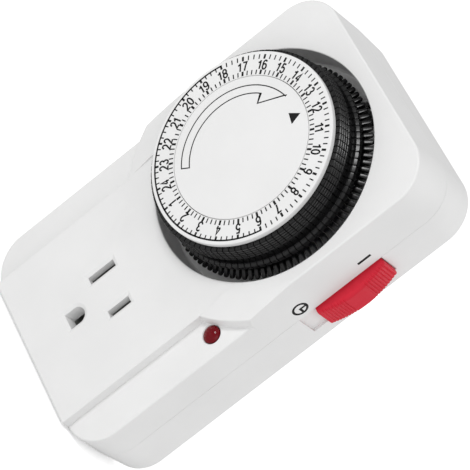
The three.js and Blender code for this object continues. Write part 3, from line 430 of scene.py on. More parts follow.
def front_shell():
    """The strips, the outlet band, the dial's platform with its well, and the chambers inside."""
    strips = rounded_body(FRONT_FROM, STRIP)
    half = BAND_WIDTH / 2
    edge = rounded((half - BAND_EDGE, BAND - BAND_EDGE), BAND_EDGE, 0, 90)
    outline = [(half, FRONT_FROM)] + edge + [(-x, d) for x, d in reversed(edge)] + [(-half, FRONT_FROM)]
    band = common(rounded_body(FRONT_FROM, BAND), bar(outline, DIAL_Z - CASE_HEIGHT, DIAL_Z))
    slope = PLATFORM_SLOPE * (BAND - PLATFORM_EDGE - STRIP) / (PLATFORM - STRIP)
    foot = PLATFORM_RADIUS + slope
    brow = rounded((PLATFORM_RADIUS - PLATFORM_EDGE, BAND - PLATFORM_EDGE), PLATFORM_EDGE, 0, BROW_TURN)
    cone = lathe([(0, FRONT_FROM), (foot, FRONT_FROM), (foot, STRIP)] + brow
                 + [(WELL_RADIUS + BROW_LAND, PLATFORM), (0, PLATFORM)], 0, DIAL_Z)
    upper = block((-CASE_WIDTH, CASE_WIDTH), (PLATFORM, FRONT_FROM), (DIAL_Z, CASE_HEIGHT))
    ramp_top = DIAL_Z - sqrt(WELL_RADIUS ** 2 - half ** 2)
    platform = cut(common(rounded_body(FRONT_FROM, PLATFORM), join(cone, upper)),
                   block((-half, half), (PLATFORM + PAST, BAND), (-CASE_HEIGHT, ramp_top)))
    ramp = common(lathe([(0, FRONT_FROM), (PLATFORM_RADIUS, FRONT_FROM), (PLATFORM_RADIUS, BAND),
                         (WELL_RADIUS + RAMP_LAND, PLATFORM), (0, PLATFORM)], 0, DIAL_Z),
                  block((-half, half), (PLATFORM, FRONT_FROM), (-CASE_HEIGHT, ramp_top)))
    outside = join(strips, band, platform, ramp)

    inner = case_outline(WALL)
    hollow = join(
        prism(inner, STRIP - WALL, FRONT_FROM - PAST),
        block((WALL - half, half - WALL), (BAND - WALL, PARTING), (WALL - HALF_HEIGHT, 0)),
        common(prism(inner, PLATFORM - WALL, PARTING),
               block((-CASE_WIDTH, CASE_WIDTH), (PLATFORM, 0), (ramp_top, CASE_HEIGHT))))
    side = HALF_WIDTH - WALL / 2
    well = common(drum(WELL_RADIUS + WELL_WALL, PLATFORM - WALL, WELL_BOTTOM - WELL_FLOOR, 0, DIAL_Z, ROUND),
                  block((-side, side), (PLATFORM, 0), (-CASE_HEIGHT, CASE_HEIGHT)))
    shell = join(cut(outside, hollow), well)
    rim = rounded((WELL_RADIUS + WELL_EDGE, PLATFORM - WELL_EDGE), WELL_EDGE, 180, 90)
    bore = lathe([(0, WELL_BOTTOM), (WELL_RADIUS - WELL_FILLET, WELL_BOTTOM),
                  (WELL_RADIUS, WELL_BOTTOM + WELL_FILLET)] + rim
                 + [(WELL_RADIUS + WELL_EDGE, PLATFORM + PAST), (0, PLATFORM + PAST)], 0, DIAL_Z)
    hub = drum(HUB_HOLE, PLATFORM, 0, 0, DIAL_Z)
    nose = block(FOLLOWER_XS, (PLATFORM, 0), FOLLOWER_ZS)
    hole = LENS_RADIUS + LENS_PLAY
    lens_hole = lathe([(0, PARTING), (hole, PARTING), (hole, STRIP - MOUTH), (hole + MOUTH, STRIP),
                       (hole + MOUTH, STRIP + 2 * PAST), (0, STRIP + 2 * PAST)], LAMP_X, LAMP_Z, SMALL * 2)
    bosses = [cut(drum(BOSS_RADIUS, STRIP - WALL / 2, FRONT_FROM, x, z), drum(SCREW_HOLE, SCREW_HOLE_END, 0, x, z))
              for x, z in CASE_SCREWS]
    rooms = []
    for x, z, width, height in CHAMBERS:
        wide, high = width / 2 + GAP, height / 2 + GAP
        outer = block((x - wide - CHAMBER_WALL, x + wide + CHAMBER_WALL), (BAND - WALL / 2, BAND - CHAMBER_DEPTH),
                      (z - high - CHAMBER_WALL, z + high + CHAMBER_WALL))
        rooms.append(cut(outer, block((x - wide, x + wide), (BAND - WALL, BAND - CHAMBER_DEPTH - PAST),
                                      (z - high, z + high))))
    shell = join(cut(shell, bore, hub, nose, lens_hole), *bosses, *rooms)
    holes = [slot_outline(-SPACING / 2, OUTLET_Z, SLOT_WIDTH, NEUTRAL_SLOT),
             slot_outline(SPACING / 2, OUTLET_Z, SLOT_WIDTH, HOT_SLOT),
             lambda grow: ground_outline(GROUND_WIDTH + 2 * grow, GROUND_HEIGHT + 2 * grow, 0, GROUND_Z)]
    depths = (TUNNEL, TUNNEL, GROUND_TUNNEL)
    tunnels = [prism(hole(TUNNEL_WALL), BAND - WALL / 2, BAND - deep) for hole, deep in zip(holes, depths)]
    slots = [flared(hole, BAND, BAND - deep - TUNNEL_PAST, narrow)
             for hole, deep, narrow in zip(holes, depths, (0.0, 0.0, GROUND_NARROWS))]
    nib = prism(NIB, PLATFORM - NIB_TO, PLATFORM - NIB_FROM)
    turn = radians(NIB_TURN)
    for v in nib.data.vertices:
        x, z = v.co.x, v.co.z
        v.co.x, v.co.z = x * cos(turn) + z * sin(turn), z * cos(turn) - x * sin(turn) + DIAL_Z * MM
    shell = join(cut(join(shell, *tunnels), *slots), nib)
    return finish(shell, "front_shell", "case", WHITE, ["front_cover"])


BUTTON_LOW, BUTTON_LENGTH, BUTTON_FRONT, BUTTON_BACK, TRAVEL = 11.6, 21.7, 12.95, 5.3, 4.7
RECESS_DEPTH, MARGIN = 1.0, 0.3
SLIDE_DEPTHS, SLIDE_ZS = (7.6, 12.2), (12.5, 27.6)
HEAD_RADIUS, HEAD_SINK, HEAD_HEIGHT, SEAT_DEPTH = 2.6, 0.6, 2.2, 3.1
POST_BOSS, POST_BOSS_RISE, POST_HOLE, POST_HOLE_RISE = 5.0, 3.5, 2.3, 4.5
PIN_BOSS, PIN_BOSS_RISE, PIN_HOLE_END = 4.1, 1.7, 5


def rear_shell():
    """The tub with its screw pillars, the post's boss, the prongs' holes and the slide switch's recess."""
    tub = cut(rounded_body(REAR_FROM, 0), prism(case_outline(WALL), REAR_FROM + PAST, WALL))
    posts = [drum(BOSS_RADIUS, REAR_FROM, WALL / 2, x, z, SMALL * 2) for x, z in CASE_SCREWS]
    posts.append(drum(POST_BOSS, WALL + POST_BOSS_RISE, WALL / 2, 0, DIAL_Z, SMALL * 2))
    posts.append(drum(PIN_BOSS, WALL + PIN_BOSS_RISE, WALL / 2, 0, PIN_Z, SMALL * 2))
    shell = join(tub, *posts)
    tools = [drum(POST_HOLE, WALL + POST_HOLE_RISE, WALL, 0, DIAL_Z)]
    outer, inner = HEAD_RADIUS + GAP, SCREW_HOLE
    for x, z in CASE_SCREWS:
        tools.append(lathe([(0, -PAST), (outer + MOUTH, -PAST), (outer + MOUTH, 0), (outer, MOUTH),
                            (outer, SEAT_DEPTH), (inner, SEAT_DEPTH), (inner, REAR_FROM + PAST),
                            (0, REAR_FROM + PAST)], x, z, SMALL * 2))
    pin = PRONG_RADIUS + GAP
    tools.append(lathe([(0, -PAST), (pin + MOUTH, -PAST), (pin + MOUTH, 0), (pin, MOUTH), (pin, PIN_HOLE_END),
                        (0, PIN_HOLE_END)], 0, PIN_Z, SMALL * 2))
    wide, high = BLADE_HALF + GAP, BLADE_HIGH + GAP
    for x in (-SPACING / 2, SPACING / 2):
        tools.append(block((x - wide, x + wide), (-PAST, WALL + PAST), (PLUG_Z - high, PLUG_Z + high)))
    low = BUTTON_LOW - TRAVEL - MARGIN
    tools.append(block((HALF_WIDTH - RECESS_DEPTH, HALF_WIDTH + PAST), (BUTTON_BACK - MARGIN, REAR_FROM + PAST),
                       (low, BUTTON_LOW + BUTTON_LENGTH + MARGIN)))
    tools.append(block((HALF_WIDTH - WALL - PAST, HALF_WIDTH + PAST), SLIDE_DEPTHS, SLIDE_ZS))
    return finish(cut(shell, *tools), "rear_shell", "case", WHITE, ["rear_cover"])


# Dial
def ring_and_disc():
    """The turning number ring and the fixed centre disc."""
    r = RING_RADIUS
    inner = DISC_RADIUS + DISC_GAP
    edge = rounded((r - RING_BEVEL, FACE_BACK + FACE_THICKNESS - RING_BEVEL), RING_BEVEL, 0, 90)
    ring = lathe([(inner, FACE_BACK), (SKIRT_RADIUS, FACE_BACK), (SKIRT_RADIUS, SKIRT_BACK),
                  (r - RING_EASE, SKIRT_BACK), (r, SKIRT_BACK + RING_EASE)] + edge
                 + [(inner + RING_EASE, DIAL_FACE), (inner, DIAL_FACE - RING_EASE)], 0, DIAL_Z)
    finish(ring, "hour_ring", "dial", DIAL_WHITE, ["number_ring"])
    edge = rounded((DISC_RADIUS - DISC_EDGE, DIAL_FACE - DISC_EDGE), DISC_EDGE, 0, 90, 3)
    stem = FACE_BACK - STEM_LENGTH
    disc = lathe([(0, stem), (STEM_RADIUS, stem), (STEM_RADIUS, FACE_BACK), (DISC_RADIUS, FACE_BACK)] + edge
                 + [(0, DIAL_FACE)], 0, DIAL_Z)
    finish(disc, "dial_disc", "case", DIAL_WHITE, ["centre_disc"])


def polar(radius, angle, across=0.0):
    """A point on the dial: radius, clockwise angle from the top in degrees, and a sideways step."""
    s, c = sin(radians(angle)), cos(radians(angle))
    return radius * s + across * c, DIAL_Z + radius * c - across * s


def hour_angle(hour):
    """The hours run anticlockwise round the ring."""
    return NOON - HOUR * (hour - HOURS / 2)


PRINT_TOP = DIAL_FACE + 0.025
PRINT_FOOT = DIAL_FACE - 0.03


def stroke(outline):
    """A thin printed patch with its outline in (x, z)."""
    return stack([[(x, -d, z) for x, z in outline] for d in (PRINT_FOOT, PRINT_TOP)])


def ink(pairs, closed):
    """A printed line from pairs of (x, z) points on its two sides."""
    count = len(pairs)
    verts, faces = [], []
    for left, right in pairs:
        verts += [(left[0], -PRINT_FOOT, left[1]), (right[0], -PRINT_FOOT, right[1]),
                  (right[0], -PRINT_TOP, right[1]), (left[0], -PRINT_TOP, left[1])]
    for i in range(count if closed else count - 1):
        j = (i + 1) % count
        for k in range(4):
            m = (k + 1) % 4
            faces.append([4 * i + k, 4 * i + m, 4 * j + m, 4 * j + k])
    if not closed:
        last = 4 * (count - 1)
        faces += [[0, 1, 2, 3], [last + 3, last + 2, last + 1, last]]
    return sink("ink", verts, faces)


TICK_IN, TICK_OUT, TICK_LENGTH = 20.25, 24.6, 1.3
THIN, THICK, ARC_WIDTH, ARC_RADIUS, ARC_STEPS = 0.33, 0.6, 0.45, 25.7, 120
ARC_HOURS = (18, 6)


def ticks():
    """Two rings of quarter-hour marks, and the line round the night's half."""
    marks = []
    for i in range(HOURS * TABS_PER_HOUR):
        angle = NOON - i * TAB_PITCH
        half = (THICK if i % TABS_PER_HOUR == 0 else THIN) / 2
        for start in (TICK_IN, TICK_OUT):
            end = start + TICK_LENGTH
            marks.append(stroke([polar(start, angle, -half), polar(end, angle, -half),
                                 polar(end, angle, half), polar(start, angle, half)]))
    low, high = hour_angle(ARC_HOURS[0]), hour_angle(ARC_HOURS[1]) - 360
    angles = [low + (high - low) * i / ARC_STEPS for i in range(ARC_STEPS + 1)]
    marks.append(ink([(polar(ARC_RADIUS - ARC_WIDTH / 2, angle), polar(ARC_RADIUS + ARC_WIDTH / 2, angle))
                      for angle in angles], False))
    return finish(merge("ticks", marks), "hour_ticks", "dial", PRINT_BLACK, weighted=False)


NUMBER_RADIUS, DIGIT_HIGH, DIGIT_WIDE, DIGIT_LINE, DIGIT_STEP, ONE_STEP = 22.95, 2.45, 1.1, 0.45, 1.72, 1.3
MITRE_LIMIT = 0.5


def loop(centre, radii):
    """A closed oval of a digit; its last point stops one step short of the first."""
    return ellipse(centre, radii, 0, 342, 19)


# Each digit's lines, closed or not, in its own box of one unit by one
DIGITS = {
    "0": [(True, loop((0.5, 0.5), (0.5, 0.5)))],
    "1": [(False, [(0.62, 0.0), (0.62, 1.0)]), (False, [(0.62, 0.95), (0.4, 0.8), (0.02, 0.72)])],
    "2": [(False, ellipse((0.5, 0.7), (0.48, 0.3), 170, -25, 12) + [(0.7, 0.4), (0.02, 0.0), (1.0, 0.0)])],
    "3": [(False, ellipse((0.46, 0.75), (0.44, 0.25), 160, -85, 12)),
          (False, ellipse((0.46, 0.27), (0.52, 0.27), 85, -165, 14))],
    "4": [(False, [(0.74, 0.0), (0.74, 0.98), (0.02, 0.3)]), (False, [(-0.08, 0.27), (1.05, 0.27)])],
    "5": [(False, [(0.92, 1.0), (0.2, 1.0), (0.1, 0.46)]),
          (False, ellipse((0.48, 0.31), (0.5, 0.31), 148, -160, 16))],
    "6": [(True, loop((0.5, 0.3), (0.5, 0.3))), (False, ellipse((0.56, 0.58), (0.54, 0.42), 40, 205, 12))],
    "7": [(False, [(0.0, 1.0), (1.0, 1.0), (0.62, 0.5), (0.4, 0.0)])],
    "8": [(True, loop((0.5, 0.27), (0.5, 0.27))), (True, loop((0.5, 0.74), (0.46, 0.26)))],
    "9": [(True, loop((0.5, 0.7), (0.5, 0.3))), (False, ellipse((0.44, 0.42), (0.54, 0.42), 220, 385, 12))],
}


def numbers():
    """Plain hour numbers 1 to 24 drawn as even strokes, feet towards the centre."""
    marks = []
    for hour in range(1, HOURS + 1):
        steps = [ONE_STEP if digit == "1" else DIGIT_STEP for digit in str(hour)]
        across, angle = -sum(steps) / 2, hour_angle(hour)
        for digit, step in zip(str(hour), steps):
            left = across + step / 2 - DIGIT_WIDE / 2
            across += step
            strokes = []
            for closed, points in DIGITS[digit]:
                placed = [polar(NUMBER_RADIUS + (y - 0.5) * DIGIT_HIGH, angle, left + x * DIGIT_WIDE)
                          for x, y in points]
                strokes.append(ribbon(placed, DIGIT_LINE, closed))
            marks.append(join(strokes[0], *strokes[1:]))
    return finish(merge("numbers", marks), "hour_numbers", "dial", PRINT_BLACK,
                  weighted=False)


def ribbon(points, width, closed=True):
    """A line of even width through (x, z) points."""
    count = len(points)
    sides = []
    for i, (x, z) in enumerate(points):
        before = points[(i - 1) % count] if closed or i else points[i]
        after = points[(i + 1) % count] if closed or i < count - 1 else points[i]
        a = Vector((x - before[0], z - before[1]))
        b = Vector((after[0] - x, after[1] - z))
        a = a.normalized() if a.length else b.normalized()
        b = b.normalized() if b.length else a
        mid = (a + b).normalized()
        reach = width / 2 / max(MITRE_LIMIT, mid.dot(a))
        sides.append(((x - mid.y * reach, z + mid.x * reach), (x + mid.y * reach, z - mid.x * reach)))
    return ink(sides, closed)


# Marks of the centre disc, from the dial's middle
TRIANGLE = ((1.1, 15.25), (3.45, 17.9), (4.55, 14.55))
ARROW_TIP, ARROW_NOTCH, ARROW_NECK = (-3.95, 17.1), (-7.7, 9.5), (-9.5, 11.67)
ARROW_LINE, ARROW_STEPS = 0.3, 60
# The arrow's two arcs: first and last angle, radius, and how the radius drifts from a true circle
ARROW_OUTER, OUTER_RADIUS, OUTER_DRIFT, OUTER_EASE = (201, 347), 17.7, 0.45, 4
ARROW_INNER, INNER_RADIUS, INNER_DRIFT, INNER_SAG = (320.8, 198.9), 15.05, 0.3, 0.5


def disc_marks():
    """Solid index triangle and hollow turning arrow."""
    triangle = [(x, DIAL_Z + z) for x, z in TRIANGLE]
    finish(stroke(triangle), "index_mark", "case", PRINT_BLACK, weighted=False)
    shares = [i / ARROW_STEPS for i in range(ARROW_STEPS + 1)]
    points = []
    start, end = ARROW_OUTER
    for share in shares:
        radius = OUTER_RADIUS - OUTER_DRIFT * min(1.0, share * OUTER_EASE)
        points.append(polar(radius, start + (end - start) * share))
    points += [(x, DIAL_Z + z) for x, z in (ARROW_TIP, ARROW_NOTCH, ARROW_NECK)]
    start, end = ARROW_INNER
    for share in shares:
        radius = INNER_RADIUS + INNER_DRIFT * share - INNER_SAG * sin(pi * share)
        points.append(polar(radius, start + (end - start) * share))
    finish(ribbon(points, ARROW_LINE), "arrow_mark", "case", PRINT_BLACK, weighted=False)


# Trip tabs
TAB_BACK, TAB_FRONT, TAB_INNER, DRUM_RADIUS = 23.2, 37.0, 26.9, 25.0
TOOTH, TAB_GAP, KEY_HALF = 0.66, 0.27, 0.3
HEAD_BACK, HEAD_RADIUS_BACK, HEAD_TAPER, HEAD_RIDGES, RIDGE_PITCH = 32.4, 28.45, 0.09, 5, 0.91
RIDGE_LAND, RIDGE_DEPTH, RIDGE_SLOPE, SOFT, SHELF_SOFT = 0.55, 0.32, 0.14, 0.03, 0.06
RIDGE_RISE, RIDGE_BEND, RIDGE_FALL, KEY_SHORT = 0.04, 0.1, 0.14, 0.02
# Across a tab: share of its half width, and whether the rounding lowers that line
SLICES = ((-1.0, 1.0), (-0.6, 0.0), (0.6, 0.0), (1.0, 1.0))


def tab_profile():
    """The tab's outer face from the wall end to the front: radius, depth, half width's share, rounding."""
    tooth = [(29.9, TAB_BACK, 0.1), (30.3, TAB_BACK + 0.1, 0.15), (30.45, TAB_BACK + 0.25, 0.2),
             (30.45, 23.85, 0.2), (30.35, 23.98, 0.2), (28.5, 24.95, 0.2), (28.1, 25.05, 0.1), (27.75, 25.05, 0.0)]
    shelf = [(27.7, 25.2, 0.0), (27.7, 27.2, 0.0), (29.05, 27.3, SHELF_SOFT), (29.2, 27.45, SHELF_SOFT),
             (29.2, 28.85, SHELF_SOFT), (28.5, 29.22, SHELF_SOFT), (28.4, 29.6, SHELF_SOFT), (27.6, 29.65, 0.0),
             (27.6, HEAD_BACK - 0.1, 0.0)]
    head = []
    for i in range(HEAD_RIDGES):
        d = HEAD_BACK + i * RIDGE_PITCH
        r = HEAD_RADIUS_BACK - i * RIDGE_PITCH * HEAD_TAPER
        end = d + RIDGE_LAND
        head += [(r - RIDGE_DEPTH, d, SOFT), (r, d + RIDGE_RISE, SOFT), (r, end, SOFT),
                 (r - RIDGE_SLOPE, end + RIDGE_BEND, SOFT), (r - RIDGE_DEPTH, end + RIDGE_FALL, SOFT)]
    head += [(28.0, TAB_FRONT - 0.06, SOFT), (27.9, TAB_FRONT, SOFT)]
    return [(r, d, TOOTH, soft) for r, d, soft in tooth] + [(r, d, 1.0, soft) for r, d, soft in shelf + head]


def tabs():
    """The 96 tabs, four to an hour, each with the key that runs in the drum."""
    outer = tab_profile()
    profile = [(TAB_INNER, TAB_BACK, 1.0, 0.0)] + outer + [(TAB_INNER, TAB_FRONT, 1.0, 0.0)]
    half = tan(radians(TAB_PITCH / 2))
    count = len(profile)
    for hour in range(HOURS):
        middle = NOON - (hour + 0.5 - HOURS / 2) * HOUR
        verts, faces = [], []
        for i in range(TABS_PER_HOUR):
            angle = middle + (i - (TABS_PER_HOUR - 1) / 2) * TAB_PITCH
            base = len(verts)
            for side, lowered in SLICES:
                for r, d, share, rounding in profile:
                    across = side * (r * half * share - TAB_GAP / 2)
                    x, z = polar(r - rounding * lowered, angle, across)
                    verts.append((x, -d, z))
            last = base + (len(SLICES) - 1) * count
            faces.append([base + k for k in range(count)])
            faces.append([last + count - 1 - k for k in range(count)])
            for start in range(base, last, count):
                for k in range(count):
                    m = (k + 1) % count
                    faces.append([start + k, start + m, start + count + m, start + count + k])
            base = len(verts)
            for d in (TAB_BACK, TAB_FRONT):
                for r, across in ((DRUM_RADIUS + GAP, -KEY_HALF), (DRUM_RADIUS + GAP, KEY_HALF),
                                  (TAB_INNER - KEY_SHORT, KEY_HALF), (TAB_INNER - KEY_SHORT, -KEY_HALF)):
                    x, z = polar(r, angle, across)
                    verts.append((x, -d, z))
            faces += [[base + 3, base + 2, base + 1, base], [base + 4, base + 5, base + 6, base + 7]]
            for k in range(4):
                m = (k + 1) % 4
                faces.append([base + k, base + m, base + 4 + m, base + 4 + k])
        name = f"trip_tabs_{hour + 1:02d}"
        group = sink("tabs", verts, faces)
        finish(group, f"tabs_of_hour_{hour + 1:02d}", f"tabs_{hour + 1:02d}", BLACK, [name],
               35.0)


# Slide button
END_RISE, CROWN_RISE, BUTTON_CORNER, BUTTON_EASE, BACK_EDGE, FRONT_EDGE = 1.25, 3.4, 0.6, 0.1, 0.35, 1.2
RIBS, RIB_PITCH, RIB_DEPTH, RIB_MARGIN, CROWN_STEPS = 8, 0.88, 0.26, 0.75, 12
POCKET_IN, POCKET_DEPTHS, POCKET_ZS = 1.9, (7.9, 11.9), (17.2, 27.6)
# One rib: share of the pitch, and share of the depth below the crown
RIB_SHAPE = ((0.0, 0.35), (0.18, 0.0), (0.55, 0.0), (0.72, 0.6), (0.84, 1.0), (0.94, 0.8))


def button():
    """Crowned button with ribs across both ends and a well-rounded front edge."""
    base = HALF_WIDTH - RECESS_DEPTH + GAP
    low, high = BUTTON_LOW, BUTTON_LOW + BUTTON_LENGTH
    sagitta = CROWN_RISE - END_RISE

    def surface(z):
        share = (z - low) / BUTTON_LENGTH
        return HALF_WIDTH + END_RISE + 4 * share * (1 - share) * sagitta

    outline = [(base, low + BUTTON_EASE), (HALF_WIDTH + END_RISE - BUTTON_CORNER, low)]
    corner = BUTTON_CORNER
    outline += rounded((surface(low + corner) - corner, low + corner), corner, -70, -15, 4)
    starts = (low + RIB_MARGIN, high - RIB_MARGIN - RIBS * RIB_PITCH)
    for start in starts:
        for i in range(RIBS):
            z = start + i * RIB_PITCH
            for share, sunk in RIB_SHAPE:
                outline.append((surface(z + share * RIB_PITCH) - RIB_DEPTH * sunk, z + share * RIB_PITCH))
        if start == starts[0]:
            middle, end = start + RIBS * RIB_PITCH, starts[1]
            outline += [(surface(z), z) for z in
                        [middle + (end - middle) * i / CROWN_STEPS for i in range(CROWN_STEPS)]]
    outline += rounded((surface(high - corner) - corner, high - corner), corner, 15, 70, 4)
    outline += [(HALF_WIDTH + END_RISE - BUTTON_CORNER, high), (base, high - BUTTON_EASE)]
    reach, middle_z = max(x for x, z in outline) - base, (low + high) / 2

    def level(depth, amount, ends):
        """The outline at a depth, drawn in on top and at its two ends."""
        flat, short = 1 - amount / reach, 1 - 2 * ends / BUTTON_LENGTH
        return [(base + (x - base) * flat, -depth, middle_z + (z - middle_z) * short) for x, z in outline]

    levels = []
    for share in (0, 1 / 3, 2 / 3, 1):
        turn = share * pi / 2
        ease = BACK_EDGE * (1 - sin(turn))
        levels.append(level(BUTTON_BACK + BACK_EDGE * (1 - cos(turn)), ease, ease))
    for i in range(EDGE_STEPS + 2, -1, -1):
        turn = i / (EDGE_STEPS + 2) * pi / 2
        levels.append(level(BUTTON_FRONT - FRONT_EDGE * (1 - cos(turn)), FRONT_EDGE * (1 - sin(turn)),
                            BACK_EDGE * (1 - sin(turn))))
    body = stack(levels)
    pocket = block((base - PAST, base + POCKET_IN), POCKET_DEPTHS, POCKET_ZS)
    return finish(cut(body, pocket), "ribbed_button", "slider", RED, ["slide_button"], 32.0)


# Marks beside the button
SIDE_TOP, SIDE_FOOT = 0.012, -0.05


def wall_x(depth):
    """The platform's drafted side wall at a depth."""
    return HALF_WIDTH - DRAFT * (depth - FRONT_FROM) / (PLATFORM - FRONT_ROUND - FRONT_FROM)


def side_mark(outline):
    """A patch printed on the side wall; the outline is in (depth, z)."""
    return stack([[(wall_x(d) + lift, -d, z) for d, z in outline] for lift in (SIDE_FOOT, SIDE_TOP)])


def side_patch(depths, zs):
    return side_mark([(depths[0], zs[0]), (depths[1], zs[0]), (depths[1], zs[1]), (depths[0], zs[1])])


BAR_DEPTH, BAR_LOW, BAR_HIGH, BAR_WIDTH = 17.0, 28.2, 32.3, 0.85
CLOCK_DEPTH, CLOCK_Z, CLOCK_RADIUS, CLOCK_LINE, CLOCK_GAP = 16.9, 9.35, 1.95, 0.66, 0.02


def side_marks():
    """A bar at the button's upper place and a plain clock face at its lower one."""
    marks = [side_patch((BAR_DEPTH - BAR_WIDTH / 2, BAR_DEPTH + BAR_WIDTH / 2), (BAR_LOW, BAR_HIGH))]
    corners = ((-0.5, SIDE_FOOT), (0.5, SIDE_FOOT), (0.5, SIDE_TOP), (-0.5, SIDE_TOP))
    verts, faces = [], []
    steps = 2 * SMALL
    for i in range(steps):
        turn = 2 * pi * i / steps
        for share, lift in corners:
            r = CLOCK_RADIUS + share * CLOCK_LINE
            d, z = CLOCK_DEPTH + r * cos(turn), CLOCK_Z + r * sin(turn)
            verts.append((wall_x(d) + lift, -d, z))
    for i in range(steps):
        j = (i + 1) % steps
        for k in range(4):
            m = (k + 1) % 4
            faces.append([4 * i + k, 4 * i + m, 4 * j + m, 4 * j + k])
    marks.append(sink("mark", verts, faces))
    half = CLOCK_LINE / 2
    reach = CLOCK_RADIUS - half - CLOCK_GAP
    marks.append(side_patch((CLOCK_DEPTH - half, CLOCK_DEPTH + half), (CLOCK_Z - half, CLOCK_Z + reach)))
    marks.append(side_patch((CLOCK_DEPTH - reach, CLOCK_DEPTH - half - CLOCK_GAP),
                            (CLOCK_Z - half, CLOCK_Z + half)))
    return finish(merge("marks", marks), "switch_marks", "case", PRINT_BLACK,
                  weighted=False)


# Lamp lens; its hollow is given by radius and depth below the strip
LENS_STEPS, LENS_HOLLOW = 12, ((0, 0), (1.0, 0.1), (1.7, 0.35), (2.0, 0.8))


def lens():
    r, top = LENS_RADIUS, STRIP + LENS_RISE
    seat = STRIP - WALL - GAP
    sphere = (r * r + LENS_RISE * LENS_RISE) / (2 * LENS_RISE)
    dome = []
    for i in range(LENS_STEPS):
        radius = r * (1 - i / LENS_STEPS)
        dome.append((radius, top - sphere + sqrt(sphere * sphere - radius * radius)))
    inner = [(radius, STRIP - below) for radius, below in LENS_HOLLOW]
    profile = [(inner[-1][0], seat - LENS_FLANGE), (r + LENS_FLANGE, seat - LENS_FLANGE),
               (r + LENS_FLANGE, seat), (r, seat)] + dome + [(0, top)] + inner
    piece = lathe(profile, LAMP_X, LAMP_Z, SMALL * 2)
    return finish(piece, "lamp_lens", "case", LENS, ["neon_lens"])


# Plug
BLADE_HALF, BLADE_HIGH, BLADE_LENGTH, BLADE_TAPER, BLADE_EASE = 0.76, 3.175, 17.5, 1.6, 0.22
HOLE_AT, HOLE_RADIUS = 12.5, 1.55
PRONG_RADIUS, PRONG_LENGTH, PRONG_FROM, PRONG_ROUND = 2.4, 20.5, 4.0, 2.0


def blades():
    """Blades with eased edges, rounded tips and the small hole near the tip, and the round ground prong."""
    for name, node, x in (("neutral_prong", "neutral_blade", -SPACING / 2),
                          ("line_prong", "line_blade", SPACING / 2)):
        levels = []
        for across, inset in ((-BLADE_HALF, BLADE_EASE), (BLADE_EASE - BLADE_HALF, 0),
                              (BLADE_HALF - BLADE_EASE, 0), (BLADE_HALF, BLADE_EASE)):
            high, tip = BLADE_HIGH - inset, BLADE_LENGTH - inset - BLADE_TAPER
            shape = [(-WALL, -high), (tip, -high)]
            for i in range(1, SMALL // 2):
                turn = -pi / 2 + i / (SMALL // 2) * pi
                shape.append((tip + BLADE_TAPER * cos(turn), high * sin(turn)))
            shape += [(tip, high), (-WALL, high)]
            levels.append([(x + across, y, PLUG_Z + z) for y, z in shape])
        turns = [2 * pi * i / SMALL for i in range(SMALL)]
        hole = stack([[(x + side, HOLE_AT + HOLE_RADIUS * cos(turn), PLUG_Z + HOLE_RADIUS * sin(turn))
                       for turn in turns] for side in (-2, 2)])
        finish(cut(stack(levels), hole), name, "case", PRONG, [node], 25.0)
    tip = PRONG_ROUND - PRONG_LENGTH
    profile = [(0, PRONG_FROM), (PRONG_RADIUS, PRONG_FROM), (PRONG_RADIUS, tip)]
    profile += [(PRONG_RADIUS * cos(radians(a)), tip - PRONG_ROUND * sin(radians(a)))
                for a in range(15, 90, 15)]
    profile += [(0, -PRONG_LENGTH)]
    finish(lathe(profile, 0, PIN_Z, SMALL * 2), "ground_prong", "case", PRONG, ["ground_pin"])


# Screws
SHANK_RADIUS, SHANK_END, TIP_RADIUS, TIP_END = 1.4, 17.0, 1.1, 17.6
HEAD_EDGE, HEAD_EASE, CROSS_LONG, CROSS_THIN, CROSS_DEPTH, CROSS_TAPER = 0.35, 0.3, 1.5, 0.35, 1.4, 0.6


def screws():
    """Case screws with a cross recess."""
    shoulder = HEAD_SINK + HEAD_HEIGHT
    for i, (x, z) in enumerate(CASE_SCREWS):
        head = lathe([(0, HEAD_SINK), (HEAD_RADIUS - HEAD_EDGE, HEAD_SINK), (HEAD_RADIUS, HEAD_SINK + HEAD_EASE),
                      (HEAD_RADIUS, shoulder), (SHANK_RADIUS, shoulder), (SHANK_RADIUS, SHANK_END),
                      (TIP_RADIUS, TIP_END), (0, TIP_END)], x, z, SMALL)
        arms = []
        for wide, tall in ((CROSS_LONG, CROSS_THIN), (CROSS_THIN, CROSS_LONG)):
            corners = ((-wide, -tall), (wide, -tall), (wide, tall), (-wide, tall))
            arms.append(stack([[(x + a * share, -d, z + b * share) for a, b in corners]
                               for d, share in ((HEAD_SINK - 0.5, 1.0), (HEAD_SINK + CROSS_DEPTH, CROSS_TAPER))]))
        finish(cut(head, *arms), f"cover_screw_{i + 1}", "case", STEEL, [f"case_screw_{i + 1}"])


# Camera: position, aim and roll solved from the outlet's standard spacing; the focal length and the
# photo's width are in pixels, the sensor's in millimetres, the angles in degrees
TARGET = Vector((11.626, -26.2, 6.187)) * MM
DISTANCE, AZIMUTH, ELEVATION, ROLL = 755.6 * MM, 37.572, 12.618, 51.952
FOCAL, PHOTO, SENSOR, CLIP_NEAR, CLIP_FAR = 2948.4, 470, 36.0, 0.01, 20.0


